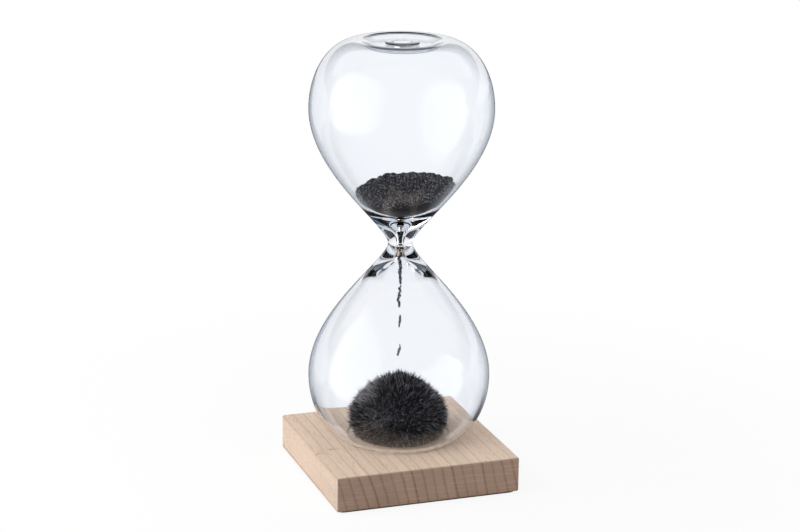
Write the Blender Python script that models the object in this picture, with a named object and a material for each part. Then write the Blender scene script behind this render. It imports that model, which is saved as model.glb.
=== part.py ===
"""Magnetic hourglass: a glass of iron filings that stands on a wooden block with a magnet inside.

Metres, +Z up. The origin is the middle of the underside, on the table.
"""

import math

import bmesh
import bpy
import numpy as np
from mathutils import Vector, noise

MM = 0.001

# Wooden block and what is under it
BASE_SIDE = 80.0 * MM
BASE_HEIGHT = 15.6 * MM  # table to top face, pad included
BASE_EDGE = 0.8 * MM  # rounding of the block's edges
PAD_THICKNESS = 0.6 * MM
PAD_INSET = 0.9 * MM  # pad edge to block edge
PAD_CORNER = 3.0 * MM
SEAT_DEPTH = 0.6 * MM  # turned dish that the glass stands in
MAGNET_RADIUS = 17.5 * MM
MAGNET_THICKNESS = 8.0 * MM
MAGNET_EDGE = 0.5 * MM

# Glass: both bulbs have one outline, measured from the waist
BULB_LENGTH = 86.2 * MM  # waist to the ring that a bulb stands on
BULB_RADIUS = 38.4 * MM
BULB_WIDEST = 57.5 * MM  # waist to the widest place
SHOULDER_OUT = 13.0 * MM  # how far the flat end runs on before it turns
SHOULDER_UP = 14.8 * MM  # how far the side runs on before it turns
CONE_SIDE = 26.0 * MM  # how far the side runs straight towards the waist
WAIST_SIDE = 7.4 * MM  # how far the waist runs straight towards the bulb
WAIST_RADIUS = 5.1 * MM
THROAT_RADIUS = 1.1 * MM
THROAT_LENGTH = 1.5 * MM  # waist to where the throat starts to open
THROAT_RUN = 4.0 * MM  # how far the throat runs on upwards
SHELF_TOP = np.array([13.5, 15.0]) * MM  # radius and height where the glass starts to thicken, as a sloping shelf
SHELF_FOOT = np.array([3.0, 8.6]) * MM  # where the shelf ends in the throat
SHELF_RUN = 1.2 * MM  # how far the shelf's line runs on there
FUNNEL_SIDE = 19.2 * MM  # how far the inside runs straight down from the widest place
FUNNEL_RUN = 6.2 * MM  # how far it runs straight over the shelf
FUNNEL_LEAN = math.radians(43.3)  # lean of the inside over the shelf
WALL = 1.3 * MM
FOOT_RADIUS = 17.5 * MM  # standing ring
PUNT_DEPTH = 2.0 * MM  # hollow inside the standing ring
PUNT_BEND = 0.45  # share of the hollow's slope that runs flat at each end
FILL_HOLE_RADIUS = 4.6 * MM
SEAL_RADIUS = 7.1 * MM
SEAL_THICKNESS = 0.8 * MM
SEAL_MARGIN = 3.9 * MM  # flat glass round the seal
SEAL_EDGE = 0.25 * MM

# Iron filings
PILE_HEIGHT = 23.0 * MM  # waist to the middle of the upper pile's rim
PILE_TILT = math.radians(7.5)  # the upper pile's surface falls to one side
PILE_LOW_SIDE = math.radians(197.0)
CRATER_DEPTH = 3.2 * MM
CRATER_RADIUS = 9.0 * MM
PILE_TIP = 1.7 * MM  # waist to the upper pile's lowest point
PILE_GAP = 0.45 * MM  # upper pile to the glass, measured level
THROAT_CLUMP_RADIUS = 0.65 * MM
CLUMP_ROUGHNESS = 0.25  # how ragged a clump is, as a share of its radius
HEAP_RADIUS = 18.2 * MM
HEAP_HEIGHT = 24.5 * MM
HEAP_WIDEST = 8.0 * MM  # heap's underside to its widest place
SPIKE_LENGTH = 3.4 * MM
SPIKE_SPREAD = 1.0 * MM  # longest spike less the mean
FIELD_DEPTH = 6.0 * MM  # spikes point away from a spot this far under the widest place
# Falling clumps: start and end as shares of the way from the waist to the heap's top, and radius
CLUMPS = (
    (0.024, 0.300, 0.60 * MM),
    (0.320, 0.530, 0.80 * MM),
    (0.590, 0.690, 0.65 * MM),
    (0.835, 0.925, 0.75 * MM),
)

# Fits
GAP = 0.3 * MM  # between pieces that touch
SEAT_GAP = 0.5 * MM  # round the glass in its dish

# How finely round pieces are cut
GLASS_SEGMENTS = 36
PUNT_STEPS = 3
SHOULDER_STEPS = 6
CONE_STEPS = 9
FUNNEL_STEPS = 6
THROAT_STEPS = 4
DISC_SEGMENTS = 36
HEAP_DIVISIONS = 4  # icosphere subdivisions, as Blender counts them
PILE_RINGS = 5

# Heights that follow
SEAT_Z = BASE_HEIGHT - SEAT_DEPTH
WAIST_Z = SEAT_Z + GAP + BULB_LENGTH
GLASS_FLOOR = BULB_LENGTH - PUNT_DEPTH - WALL  # waist to the lower bulb's raised floor
HEAP_FLOOR = -(GLASS_FLOOR - GAP)  # heap's underside, from the waist
HEAP_TOP = HEAP_FLOOR + HEAP_HEIGHT + SPIKE_LENGTH + SPIKE_SPREAD


def material(name, colour, roughness, metallic=0.0, transmission=0.0):
    """A plain Principled material."""
    made = bpy.data.materials.new(name)
    made.use_nodes = True
    shader = made.node_tree.nodes["Principled BSDF"]
    shader.inputs["Base Color"].default_value = (*colour, 1.0)
    shader.inputs["Roughness"].default_value = roughness
    shader.inputs["Metallic"].default_value = metallic
    shader.inputs["Transmission Weight"].default_value = transmission
    return made


def piece(name, shape, finish, parent=None, smooth=True):
    """Makes a named object of a bmesh, with its faces turned out."""
    bmesh.ops.recalc_face_normals(shape, faces=shape.faces[:])
    mesh = bpy.data.meshes.new(name)
    shape.to_mesh(mesh)
    shape.free()
    if smooth:
        mesh.shade_smooth()
        mesh.set_sharp_from_angle(angle=math.radians(35.0))
    mesh.materials.append(finish)
    made = bpy.data.objects.new(name, mesh)
    made.parent = parent
    bpy.context.collection.objects.link(made)
    return made


def axis_point(name, place, parent=None):
    """An empty on a joint's axis, which the moving pieces hang on."""
    made = bpy.data.objects.new(name, None)
    made.location = place
    made.parent = parent
    made.empty_display_size = 10.0 * MM
    bpy.context.collection.objects.link(made)
    return made


def curve(start, start_handle, end_handle, end, steps):
    """Points and unit tangents of a cubic curve, without its last point."""
    corners = np.array([start, start_handle, end_handle, end])
    t = np.linspace(0.0, 1.0, steps, endpoint=False)[:, None]
    u = 1.0 - t
    weights = np.hstack([u**3, 3 * u**2 * t, 3 * u * t**2, t**3])
    slopes = np.hstack([3 * u**2, 6 * u * t, 3 * t**2])
    tangents = slopes @ np.diff(corners, axis=0)
    return weights @ corners, tangents / np.linalg.norm(tangents, axis=1)[:, None]


def cone():
    """Outer points from a bulb's widest place to the waist, both included."""
    points, _ = curve(
        (BULB_RADIUS, BULB_WIDEST),
        (BULB_RADIUS, BULB_WIDEST - CONE_SIDE),
        (WAIST_RADIUS, WAIST_SIDE),
        (WAIST_RADIUS, 0.0),
        CONE_STEPS,
    )
    return np.vstack([points, [(WAIST_RADIUS, 0.0)]])


def funnel():
    """Inner points from a bulb's widest place to the waist: the side, the shelf and the throat."""
    radius = BULB_RADIUS - WALL
    over_shelf = SHELF_TOP + FUNNEL_RUN * np.array([math.sin(FUNNEL_LEAN), math.cos(FUNNEL_LEAN)])
    shelf = SHELF_FOOT - SHELF_TOP
    past_shelf = SHELF_FOOT + SHELF_RUN * shelf / np.linalg.norm(shelf)
    side, _ = curve(
        (radius, BULB_WIDEST), (radius, BULB_WIDEST - FUNNEL_SIDE), over_shelf, SHELF_TOP, FUNNEL_STEPS
    )
    throat, _ = curve(
        SHELF_FOOT,
        past_shelf,
        (THROAT_RADIUS, THROAT_LENGTH + THROAT_RUN),
        (THROAT_RADIUS, THROAT_LENGTH),
        THROAT_STEPS,
    )
    return np.vstack([side, [SHELF_TOP], throat, [(THROAT_RADIUS, THROAT_LENGTH), (THROAT_RADIUS, 0.0)]])


def bulb_end(start_radius):
    """Outer and inner points from the middle of a bulb's end to its widest place, one wall apart."""
    floor = BULB_LENGTH - PUNT_DEPTH
    flat_radius = SEAL_RADIUS + SEAL_MARGIN
    bend = PUNT_BEND * (FOOT_RADIUS - flat_radius)
    stretches = [
        (np.array([[start_radius, floor]]), np.array([[1.0, 0.0]])),
        curve(
            (flat_radius, floor),
            (flat_radius + bend, floor),
            (FOOT_RADIUS - bend, BULB_LENGTH),
            (FOOT_RADIUS, BULB_LENGTH),
            PUNT_STEPS,
        ),
        curve(
            (FOOT_RADIUS, BULB_LENGTH),
            (FOOT_RADIUS + SHOULDER_OUT, BULB_LENGTH),
            (BULB_RADIUS, BULB_WIDEST + SHOULDER_UP),
            (BULB_RADIUS, BULB_WIDEST),
            SHOULDER_STEPS,
        ),
    ]
    outer = np.vstack([points for points, _ in stretches])
    tangents = np.vstack([slopes for _, slopes in stretches])
    inward = np.stack([tangents[:, 1], -tangents[:, 0]], axis=1)
    return outer, outer + inward * WALL


def half_outline(start_radius):
    """Outer and inner points (radius, distance from the waist) of one bulb, from its end to the waist."""
    outer, inner = bulb_end(start_radius)
    return np.vstack([outer, cone()]), np.vstack([inner, funnel()])


def turned(outline, segments):
    """A closed bmesh of (radius, height) points turned about Z; the outline starts and ends on the axis."""
    shape = bmesh.new()
    points = [shape.verts.new((radius, 0.0, height)) for radius, height in outline]
    edges = [shape.edges.new(pair) for pair in zip(points, points[1:])]
    bmesh.ops.spin(
        shape,
        geom=points + edges,
        cent=(0.0, 0.0, 0.0),
        axis=(0.0, 0.0, 1.0),
        angle=math.tau,
        steps=segments,
        use_duplicate=False,
    )
    bmesh.ops.remove_doubles(shape, verts=shape.verts[:], dist=0.001 * MM)
    return shape


def disc(radius, low, high, edge):
    """A turned disc with chamfered rims."""
    outline = [(0.0, low), (radius - edge, low), (radius, low + edge)]
    outline += [(radius, high - edge), (radius - edge, high), (0.0, high)]
    return turned(outline, DISC_SEGMENTS)


def block(side, low, high):
    """A square block on the Z axis."""
    shape = bmesh.new()
    bmesh.ops.create_cube(shape, size=1.0)
    bmesh.ops.scale(shape, verts=shape.verts[:], vec=(side, side, high - low))
    bmesh.ops.translate(shape, verts=shape.verts[:], vec=(0.0, 0.0, (low + high) / 2))
    return shape


def cut(target, name, shape):
    """Cuts a turned shape out of an object."""
    mesh = bpy.data.meshes.new(name)
    bmesh.ops.recalc_face_normals(shape, faces=shape.faces[:])
    shape.to_mesh(mesh)
    shape.free()
    cutter = bpy.data.objects.new(name, mesh)
    cutter.hide_render = True
    cutter.display_type = "WIRE"
    bpy.context.collection.objects.link(cutter)
    boolean = target.modifiers.new(name, "BOOLEAN")
    boolean.object = cutter
    boolean.solver = "EXACT"


def base_block(finish):
    """The wooden block, with the dish on top and the magnet's pocket from below."""
    low = PAD_THICKNESS + GAP
    shape = block(BASE_SIDE, low, BASE_HEIGHT)
    bmesh.ops.bevel(
        shape, geom=shape.edges[:], offset=BASE_EDGE, segments=2, profile=0.5, affect="EDGES"
    )
    made = piece("wood_base", shape, finish)
    outer, _ = bulb_end(0.0)
    shoulder = outer[-SHOULDER_STEPS:]
    rise = BULB_LENGTH - shoulder[:, 1]
    dish_radius = float(np.interp(SEAT_DEPTH, rise, shoulder[:, 0])) + SEAT_GAP
    over = BASE_HEIGHT + 2.0 * BASE_EDGE
    dish = [(0.0, SEAT_Z), (dish_radius, SEAT_Z), (dish_radius, over), (0.0, over)]
    cut(made, "dish_cutter", turned(dish, DISC_SEGMENTS))
    under = low - 2.0 * BASE_EDGE
    roof = low + MAGNET_THICKNESS + GAP
    radius = MAGNET_RADIUS + GAP
    pocket = [(0.0, under), (radius, under), (radius, roof), (0.0, roof)]
    cut(made, "pocket_cutter", turned(pocket, DISC_SEGMENTS))


def base_pad(finish):
    """The thin felt under the block, which closes the pocket."""
    shape = block(BASE_SIDE - 2.0 * PAD_INSET, 0.0, PAD_THICKNESS)
    upright = [edge for edge in shape.edges if abs(edge.verts[0].co.z - edge.verts[1].co.z) > 0.0]
    bmesh.ops.bevel(
        shape, geom=upright, offset=PAD_CORNER, segments=4, profile=0.5, affect="EDGES"
    )
    piece("base_pad", shape, finish)


def magnet(finish):
    """The disc magnet, on the pad and in the pocket."""
    low = PAD_THICKNESS + GAP
    piece("magnet_disc", disc(MAGNET_RADIUS, low, low + MAGNET_THICKNESS, MAGNET_EDGE), finish)


def glass_vessel(finish, parent):
    """Both bulbs and the waist in one blown wall, with the filling hole in the upper end."""
    upper_out, upper_in = half_outline(FILL_HOLE_RADIUS)
    lower_out, lower_in = half_outline(0.0)
    mirror = np.array([1.0, -1.0])
    outside = np.vstack([lower_out * mirror, upper_out[-2::-1]])
    inside = np.vstack([upper_in, (lower_in * mirror)[-2::-1]])
    piece("glass_vessel", turned(np.vstack([outside, inside]).tolist(), GLASS_SEGMENTS), finish, parent)


def fill_seal(finish, parent):
    """The glass button that closes the filling hole: a cap in the hollow end, and a stem in the hole."""
    cap_low = BULB_LENGTH - PUNT_DEPTH + GAP
    stem_low = BULB_LENGTH - PUNT_DEPTH - WALL
    stem_radius = FILL_HOLE_RADIUS - GAP
    top = cap_low + SEAL_THICKNESS
    outline = [(0.0, stem_low), (stem_radius, stem_low), (stem_radius, cap_low), (SEAL_RADIUS, cap_low)]
    outline += [(SEAL_RADIUS, top - SEAL_EDGE), (SEAL_RADIUS - SEAL_EDGE, top), (0.0, top)]
    piece("fill_seal", turned(outline, GLASS_SEGMENTS), finish, parent)


def upper_filings(finish, parent):
    """The pile left in the upper bulb: it fills the cone, and its top has a slope and a crater."""
    wall = funnel()[::-1]
    angles = np.arange(GLASS_SEGMENTS) * math.tau / GLASS_SEGMENTS
    rim_radius = np.interp(PILE_HEIGHT, wall[:, 1], wall[:, 0]) - PILE_GAP
    rim_height = PILE_HEIGHT - rim_radius * math.tan(PILE_TILT) * np.cos(angles - PILE_LOW_SIDE)
    shape = bmesh.new()
    level = np.ones(GLASS_SEGMENTS)
    below = wall[(wall[:, 1] > PILE_TIP) & (wall[:, 1] < rim_height.min())]
    rings = [((radius - PILE_GAP) * level, height * level) for radius, height in below]
    rings.append((np.interp(rim_height, wall[:, 1], wall[:, 0]) - PILE_GAP, rim_height))
    rim = len(rings) - 1
    for step in range(PILE_RINGS - 1, 0, -1):
        radii = rings[rim][0] * step / PILE_RINGS
        sag = CRATER_DEPTH * np.exp(-((radii / CRATER_RADIUS) ** 2))
        heights = PILE_HEIGHT + (rim_height - PILE_HEIGHT) * step / PILE_RINGS - sag
        rings.append((radii, heights))
    loops = [
        [
            shape.verts.new((radius * math.cos(angle), radius * math.sin(angle), height))
            for radius, height, angle in zip(radii, heights, angles)
        ]
        for radii, heights in rings
    ]
    for low, high in zip(loops, loops[1:]):
        for i in range(GLASS_SEGMENTS):
            j = (i + 1) % GLASS_SEGMENTS
            shape.faces.new((low[i], low[j], high[j], high[i]))
    tip = shape.verts.new((0.0, 0.0, PILE_TIP))
    crater = shape.verts.new((0.0, 0.0, PILE_HEIGHT - CRATER_DEPTH))
    for i in range(GLASS_SEGMENTS):
        j = (i + 1) % GLASS_SEGMENTS
        shape.faces.new((tip, loops[0][j], loops[0][i]))
        shape.faces.new((crater, loops[-1][i], loops[-1][j]))
    piece("upper_filings", shape, finish, parent)


def clump(name, low, high, radius, finish, parent):
    """A ragged grain cluster on the axis, from one height to another."""
    shape = bmesh.new()
    bmesh.ops.create_icosphere(shape, subdivisions=2, radius=1.0)
    middle, half = (low + high) / 2, (high - low) / 2
    for vert in shape.verts:
        place = vert.co * 2.0 + Vector((middle / radius, 0.0, 0.0))
        width = radius * (1.0 + CLUMP_ROUGHNESS * noise.noise(place))
        vert.co = Vector((vert.co.x * width, vert.co.y * width, middle + vert.co.z * half))
    piece(name, shape, finish, parent)


def falling_filings(finish, parent):
    """The clumps of filings on their way down from the throat."""
    for number, (start, end, radius) in enumerate(CLUMPS, 1):
        clump(f"falling_filings_{number}", HEAP_TOP * end, HEAP_TOP * start, radius, finish, parent)


def filings_heap(finish, parent):
    """The heap over the magnet: a dome whose faces are drawn out into spikes along the field."""
    shape = bmesh.new()
    bmesh.ops.create_icosphere(shape, subdivisions=HEAP_DIVISIONS, radius=1.0)
    middle = HEAP_FLOOR + HEAP_WIDEST
    scale = (HEAP_RADIUS, HEAP_RADIUS, HEAP_HEIGHT - HEAP_WIDEST)
    bmesh.ops.scale(shape, verts=shape.verts[:], vec=scale)
    bmesh.ops.translate(shape, verts=shape.verts[:], vec=(0.0, 0.0, middle))
    bmesh.ops.bisect_plane(
        shape,
        geom=shape.verts[:] + shape.edges[:] + shape.faces[:],
        dist=0.02 * MM,
        plane_co=(0.0, 0.0, HEAP_FLOOR),
        plane_no=(0.0, 0.0, 1.0),
        clear_inner=True,
    )
    dome = shape.faces[:]
    rim = [edge for edge in shape.edges if edge.is_boundary]
    bmesh.ops.edgeloop_fill(shape, edges=rim)
    least = 0.5 * max(face.calc_area() for face in dome)
    whole = [face for face in dome if face.calc_area() > least]
    tips = bmesh.ops.poke(shape, faces=whole)["verts"]
    source = Vector((0.0, 0.0, middle - FIELD_DEPTH))
    for tip in tips:
        away = (tip.co - source).normalized()
        length = SPIKE_LENGTH + SPIKE_SPREAD * noise.noise(tip.co / HEAP_WIDEST * 4.0)
        tip.co += away * length
    piece("filings_heap", shape, finish, parent, smooth=False)


def main():
    """Builds every piece."""
    for old in list(bpy.data.objects):
        bpy.data.objects.remove(old, do_unlink=True)
    wood = material("pale_beech", (0.72, 0.58, 0.44), 0.55)
    felt = material("dark_felt", (0.06, 0.05, 0.045), 0.95)
    ferrite = material("ferrite", (0.09, 0.09, 0.10), 0.6)
    glass = material("clear_glass", (0.95, 0.97, 1.0), 0.02, transmission=1.0)
    iron = material("iron_filings", (0.03, 0.03, 0.035), 0.55, metallic=0.4)
    base_block(wood)
    base_pad(felt)
    magnet(ferrite)
    lift = axis_point("glass_lift_axis", (0.0, 0.0, WAIST_Z))
    turn = axis_point("glass_turn_axis", (0.0, 0.0, 0.0), lift)
    fall = axis_point("stream_fall_axis", (0.0, 0.0, 0.0), turn)
    glass_vessel(glass, turn)
    fill_seal(glass, turn)
    upper_filings(iron, turn)
    filings_heap(iron, turn)
    clump("throat_filings", -THROAT_CLUMP_RADIUS, THROAT_CLUMP_RADIUS, THROAT_CLUMP_RADIUS, iron, lift)
    falling_filings(iron, fall)


main()
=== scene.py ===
"""Looks of a magnetic hourglass: iron filings in blown glass, on a block of beech with a magnet inside.

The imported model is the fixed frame. Each visible piece is a surface worked out with numpy in that frame, in
metres with +Z up, rides on the body of the solid that it stands for, and has a procedural finish.
"""

from __future__ import annotations

import logging
import math
from collections.abc import Sequence
from dataclasses import dataclass, field
from enum import Enum

import bpy
import numpy as np
from mathutils import Matrix, Vector

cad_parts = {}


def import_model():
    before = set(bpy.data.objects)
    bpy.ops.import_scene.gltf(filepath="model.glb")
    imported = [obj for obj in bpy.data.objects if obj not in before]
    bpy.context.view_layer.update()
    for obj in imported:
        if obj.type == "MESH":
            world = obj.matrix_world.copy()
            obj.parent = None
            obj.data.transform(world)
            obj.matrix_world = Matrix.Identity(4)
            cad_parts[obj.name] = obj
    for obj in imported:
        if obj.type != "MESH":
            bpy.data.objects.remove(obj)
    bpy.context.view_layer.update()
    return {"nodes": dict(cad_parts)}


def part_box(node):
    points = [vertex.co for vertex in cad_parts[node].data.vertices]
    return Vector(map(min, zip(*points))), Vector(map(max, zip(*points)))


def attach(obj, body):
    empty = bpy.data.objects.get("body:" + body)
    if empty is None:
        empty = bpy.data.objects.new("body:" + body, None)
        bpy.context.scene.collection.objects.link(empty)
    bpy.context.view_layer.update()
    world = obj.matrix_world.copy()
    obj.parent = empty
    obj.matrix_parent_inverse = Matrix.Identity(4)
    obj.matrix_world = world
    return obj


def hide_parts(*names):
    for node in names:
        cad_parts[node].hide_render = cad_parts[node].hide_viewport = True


MM = 0.001
IMAGE_WIDTH = 800
SENSOR_WIDTH = 36.0

# How far the middle of the heap's underside lies below its solid's.
HEAP_SINK = 0.1 * MM

# A grain is an octahedron: the ends of its three arms, then the opposite ends.
GRAIN_POINTS = 6
GRAIN_FACES = np.array([[0, 1, 2], [1, 3, 2], [3, 4, 2], [4, 0, 2], [1, 0, 5], [3, 1, 5], [4, 3, 5], [0, 4, 5]])

# Large odd numbers that scramble a lattice corner's place into a random number.
CORNER_STRIDES = np.array([374761393, 668265263, 1911520717])
SEED_STRIDE = 974711
SCRAMBLE = 1274126177

Array = np.ndarray
Point = Sequence[float]
Colour = tuple[float, float, float]
Layer = tuple[float, float, int]
Node = bpy.types.Node
Socket = bpy.types.NodeSocket
Material = bpy.types.Material
Piece = bpy.types.Object
Wiring = dict[str | int, object]

log = logging.getLogger("hourglass")


class Body(Enum):
    """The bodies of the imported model."""

    BASE = "base"
    THROAT = "turning_point"
    GLASS = "glass"
    STREAM = "stream"


class Slot(Enum):
    """The record's material slots."""

    WOOD = "wood"
    FELT = "felt"
    MAGNET = "magnet"
    GLASS = "glass"
    FILINGS = "filings"


class Paint(Enum):
    """Values painted on the points of a mesh, which its finish reads."""

    # Random grain tones, and painted highlights and shade on the heap's needles and the pile's loose grains.
    TONE = "tone"
    RUST = "rust"
    # Darker on the block's rounded edges; on the dish's rim and wall it is painted shade.
    DARK_EDGE = "edge_darkness"


# Surfaces


@dataclass
class Surface:
    """Points, faces and painted values of one mesh.

    Attributes:
        points: One row of x, y, z for each point.
        faces: Arrays of point numbers, one row for each face; each array has faces of one number of corners.
        paint: Values for each point, by what they are for.
    """

    points: Array
    faces: list[Array]
    paint: dict[Paint, Array] = field(default_factory=dict)

    def joined(self, *others: Surface) -> Surface:
        """Puts surfaces that carry the same paint into one.

        Args:
            others: The surfaces that are added to this one.

        Returns:
            One surface with the points and faces of all of them.
        """
        every = (self, *others)
        starts = np.cumsum([0] + [len(part.points) for part in every[:-1]])
        faces = [rows + start for part, start in zip(every, starts) for rows in part.faces]
        paint = {kind: np.concatenate([part.paint[kind] for part in every]) for kind in self.paint}
        return Surface(np.concatenate([part.points for part in every]), faces, paint)

    def mesh(self, name: str) -> bpy.types.Mesh:
        """Fills a Blender mesh with the points, faces and painted values.

        Args:
            name: The mesh's name.

        Returns:
            The mesh, shaded smooth.
        """
        made = bpy.data.meshes.new(name)
        corners = np.concatenate([rows.ravel() for rows in self.faces]).astype(np.int32)
        counts = np.concatenate([np.full(len(rows), rows.shape[1]) for rows in self.faces])
        made.vertices.add(len(self.points))
        made.vertices.foreach_set("co", self.points.astype(np.float32).ravel())
        made.loops.add(len(corners))
        made.loops.foreach_set("vertex_index", corners)
        made.polygons.add(len(counts))
        made.polygons.foreach_set("loop_start", (np.cumsum(counts) - counts).astype(np.int32))
        made.update(calc_edges=True)
        for kind, values in self.paint.items():
            layer = made.attributes.new(kind.value, "FLOAT", "POINT")
            layer.data.foreach_set("value", values.astype(np.float32))
        made.shade_smooth()
        return made


def cubic(start: Point, out: Point, back: Point, end: Point, steps: int) -> Array:
    """Points of a cubic curve, without its last one.

    A point is (1-t)^3 start + 3 (1-t)^2 t out + 3 (1-t) t^2 back + t^3 end, for t from 0 to 1.

    Args:
        start: The first point.
        out: The handle that the curve leaves the first point towards.
        back: The handle that it reaches the last point from.
        end: The last point.
        steps: How many points there are.

    Returns:
        The points, one row each.
    """
    t = np.linspace(0.0, 1.0, steps, endpoint=False)[:, None]
    weights = np.hstack([(1 - t) ** 3, 3 * (1 - t) ** 2 * t, 3 * (1 - t) * t**2, t**3])
    return weights @ np.array([start, out, back, end])


def eased(share: Array) -> Array:
    """A share t from 0 to 1 with soft ends, 3 t^2 - 2 t^3."""
    return share * share * (3.0 - 2.0 * share)


def unit(vectors: Array) -> Array:
    """Vectors made one long, row by row."""
    return vectors / np.linalg.norm(vectors, axis=1)[:, None]


def full_turn(around: int) -> Array:
    """Evenly spaced directions round Z, from X."""
    return np.arange(around) * math.tau / around


def round_points(radii: Array | float, angles: Array, heights: Array | float) -> Array:
    """Points (r cos a, r sin a, z) round Z, one row each."""
    parts = np.broadcast_arrays(radii * np.cos(angles), radii * np.sin(angles), heights)
    return np.stack(parts, axis=-1).reshape(-1, 3)


def with_poles(first: float, rings: Array, last: float) -> Array:
    """Points of rings, between two poles on the axis that are given by their heights."""
    return np.concatenate([[[0.0, 0.0, first]], rings, [[0.0, 0.0, last]]])


def offset_inward(line: Array, distance: float) -> Array:
    """A line moved to its right-hand side, which is inside on an outline that runs outwards from the axis.

    The direction at a point is that from the point before to the point after; the line moves square to it.

    Args:
        line: Points of radius and height.
        distance: How far the line moves.

    Returns:
        The moved points.
    """
    along = unit(np.gradient(line, axis=0))
    return line + distance * np.stack([along[:, 1], -along[:, 0]], axis=1)


def ring_faces(rings: int, around: int) -> list[Array]:
    """Faces of a closed skin: one pole, rings of equal point counts, and one pole.

    Point 0 is the first pole and the last point is the other one. Faces look outwards where the rings run up the
    outside and each ring runs anticlockwise.

    Args:
        rings: How many rings there are.
        around: How many points each ring has.

    Returns:
        The quads between rings and the triangles at the poles.
    """
    here = np.arange(around)
    after = np.roll(here, -1)
    low = (1 + np.arange(rings - 1) * around)[:, None]
    quads = np.stack([low + here, low + after, low + around + after, low + around + here], axis=-1)
    last = 1 + (rings - 1) * around
    first_fan = np.stack([np.zeros(around, int), 1 + after, 1 + here], axis=1)
    last_fan = np.stack([np.full(around, last + around), last + here, last + after], axis=1)
    return [quads.reshape(-1, 4), first_fan, last_fan]


def turned(outline: Array, around: int) -> Surface:
    """An outline carried round Z: point (i, j) is (r_i cos a_j, r_i sin a_j, z_i).

    Args:
        outline: Points of radius and height; the first and the last lie on the axis.
        around: How many points there are round the axis.

    Returns:
        The closed skin.
    """
    radii, heights = outline[1:-1, :1], outline[1:-1, 1:]
    rings = round_points(radii, full_turn(around), heights)
    return Surface(with_poles(outline[0, 1], rings, outline[-1, 1]), ring_faces(len(radii), around))


def lattice_noise(points: Array, cell: float, seed: int) -> Array:
    """Smooth noise from -1 to 1.

    Each corner of a cubic lattice has a fixed random number. Inside a cell the eight numbers are blended with the
    weights 3 t^2 - 2 t^3 along each axis.

    Args:
        points: Where the noise is read.
        cell: The lattice's cell size.
        seed: Which random numbers are used.

    Returns:
        One value for each point.
    """
    scaled = points / cell
    corner = np.floor(scaled).astype(np.int64)
    part = eased(scaled - corner)
    total = np.zeros(len(points))
    for step in np.ndindex(2, 2, 2):
        mixed = (corner + step) @ CORNER_STRIDES + seed * SEED_STRIDE
        mixed = (mixed ^ (mixed >> 13)) * SCRAMBLE
        mixed ^= mixed >> 16
        value = (mixed & 0xFFFF) / 32767.5 - 1.0
        total += value * np.prod(np.where(np.array(step) == 1, part, 1.0 - part), axis=1)
    return total


def layered_noise(points: Array, layers: Sequence[Layer]) -> Array:
    """The sum of smooth noises, each with a weight, a cell size and a seed."""
    return sum(weight * lattice_noise(points, cell, seed) for weight, cell, seed in layers)


def cross_frame(directions: Array) -> tuple[Array, Array]:
    """Two unit vectors square to each direction and to each other.

    Args:
        directions: Unit vectors.

    Returns:
        The first and the second vectors.
    """
    helper = np.where(np.abs(directions[:, 2:]) < 0.9, [[0.0, 0.0, 1.0]], [[1.0, 0.0, 0.0]])
    first = unit(np.cross(directions, helper))
    return first, np.cross(directions, first)


def grains(centres: Array, lengths: Array, widths: Array, directions: Array, rng: np.random.Generator) -> Surface:
    """Loose grains, each an octahedron with unequal arms along and across its direction.

    Args:
        centres: The middles of the grains.
        lengths: Half their lengths.
        widths: Half their widths.
        directions: Which way each is long.
        rng: Source of the random turns and widths.

    Returns:
        All grains, with no paint.
    """
    first, second = cross_frame(directions)
    turn = rng.uniform(0.0, math.tau, (len(centres), 1))
    side = np.cos(turn) * first + np.sin(turn) * second
    other = np.cross(directions, side)
    arms = np.stack(
        [
            directions * lengths[:, None],
            side * (widths * rng.uniform(0.8, 1.25, len(centres)))[:, None],
            other * (widths * rng.uniform(0.7, 1.1, len(centres)))[:, None],
        ],
        axis=1,
    )
    points = centres[:, None, :] + np.concatenate([arms, -arms], axis=1)
    faces = (np.arange(len(centres)) * GRAIN_POINTS)[:, None, None] + GRAIN_FACES
    return Surface(points.reshape(-1, 3), [faces.reshape(-1, 3)])


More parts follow.
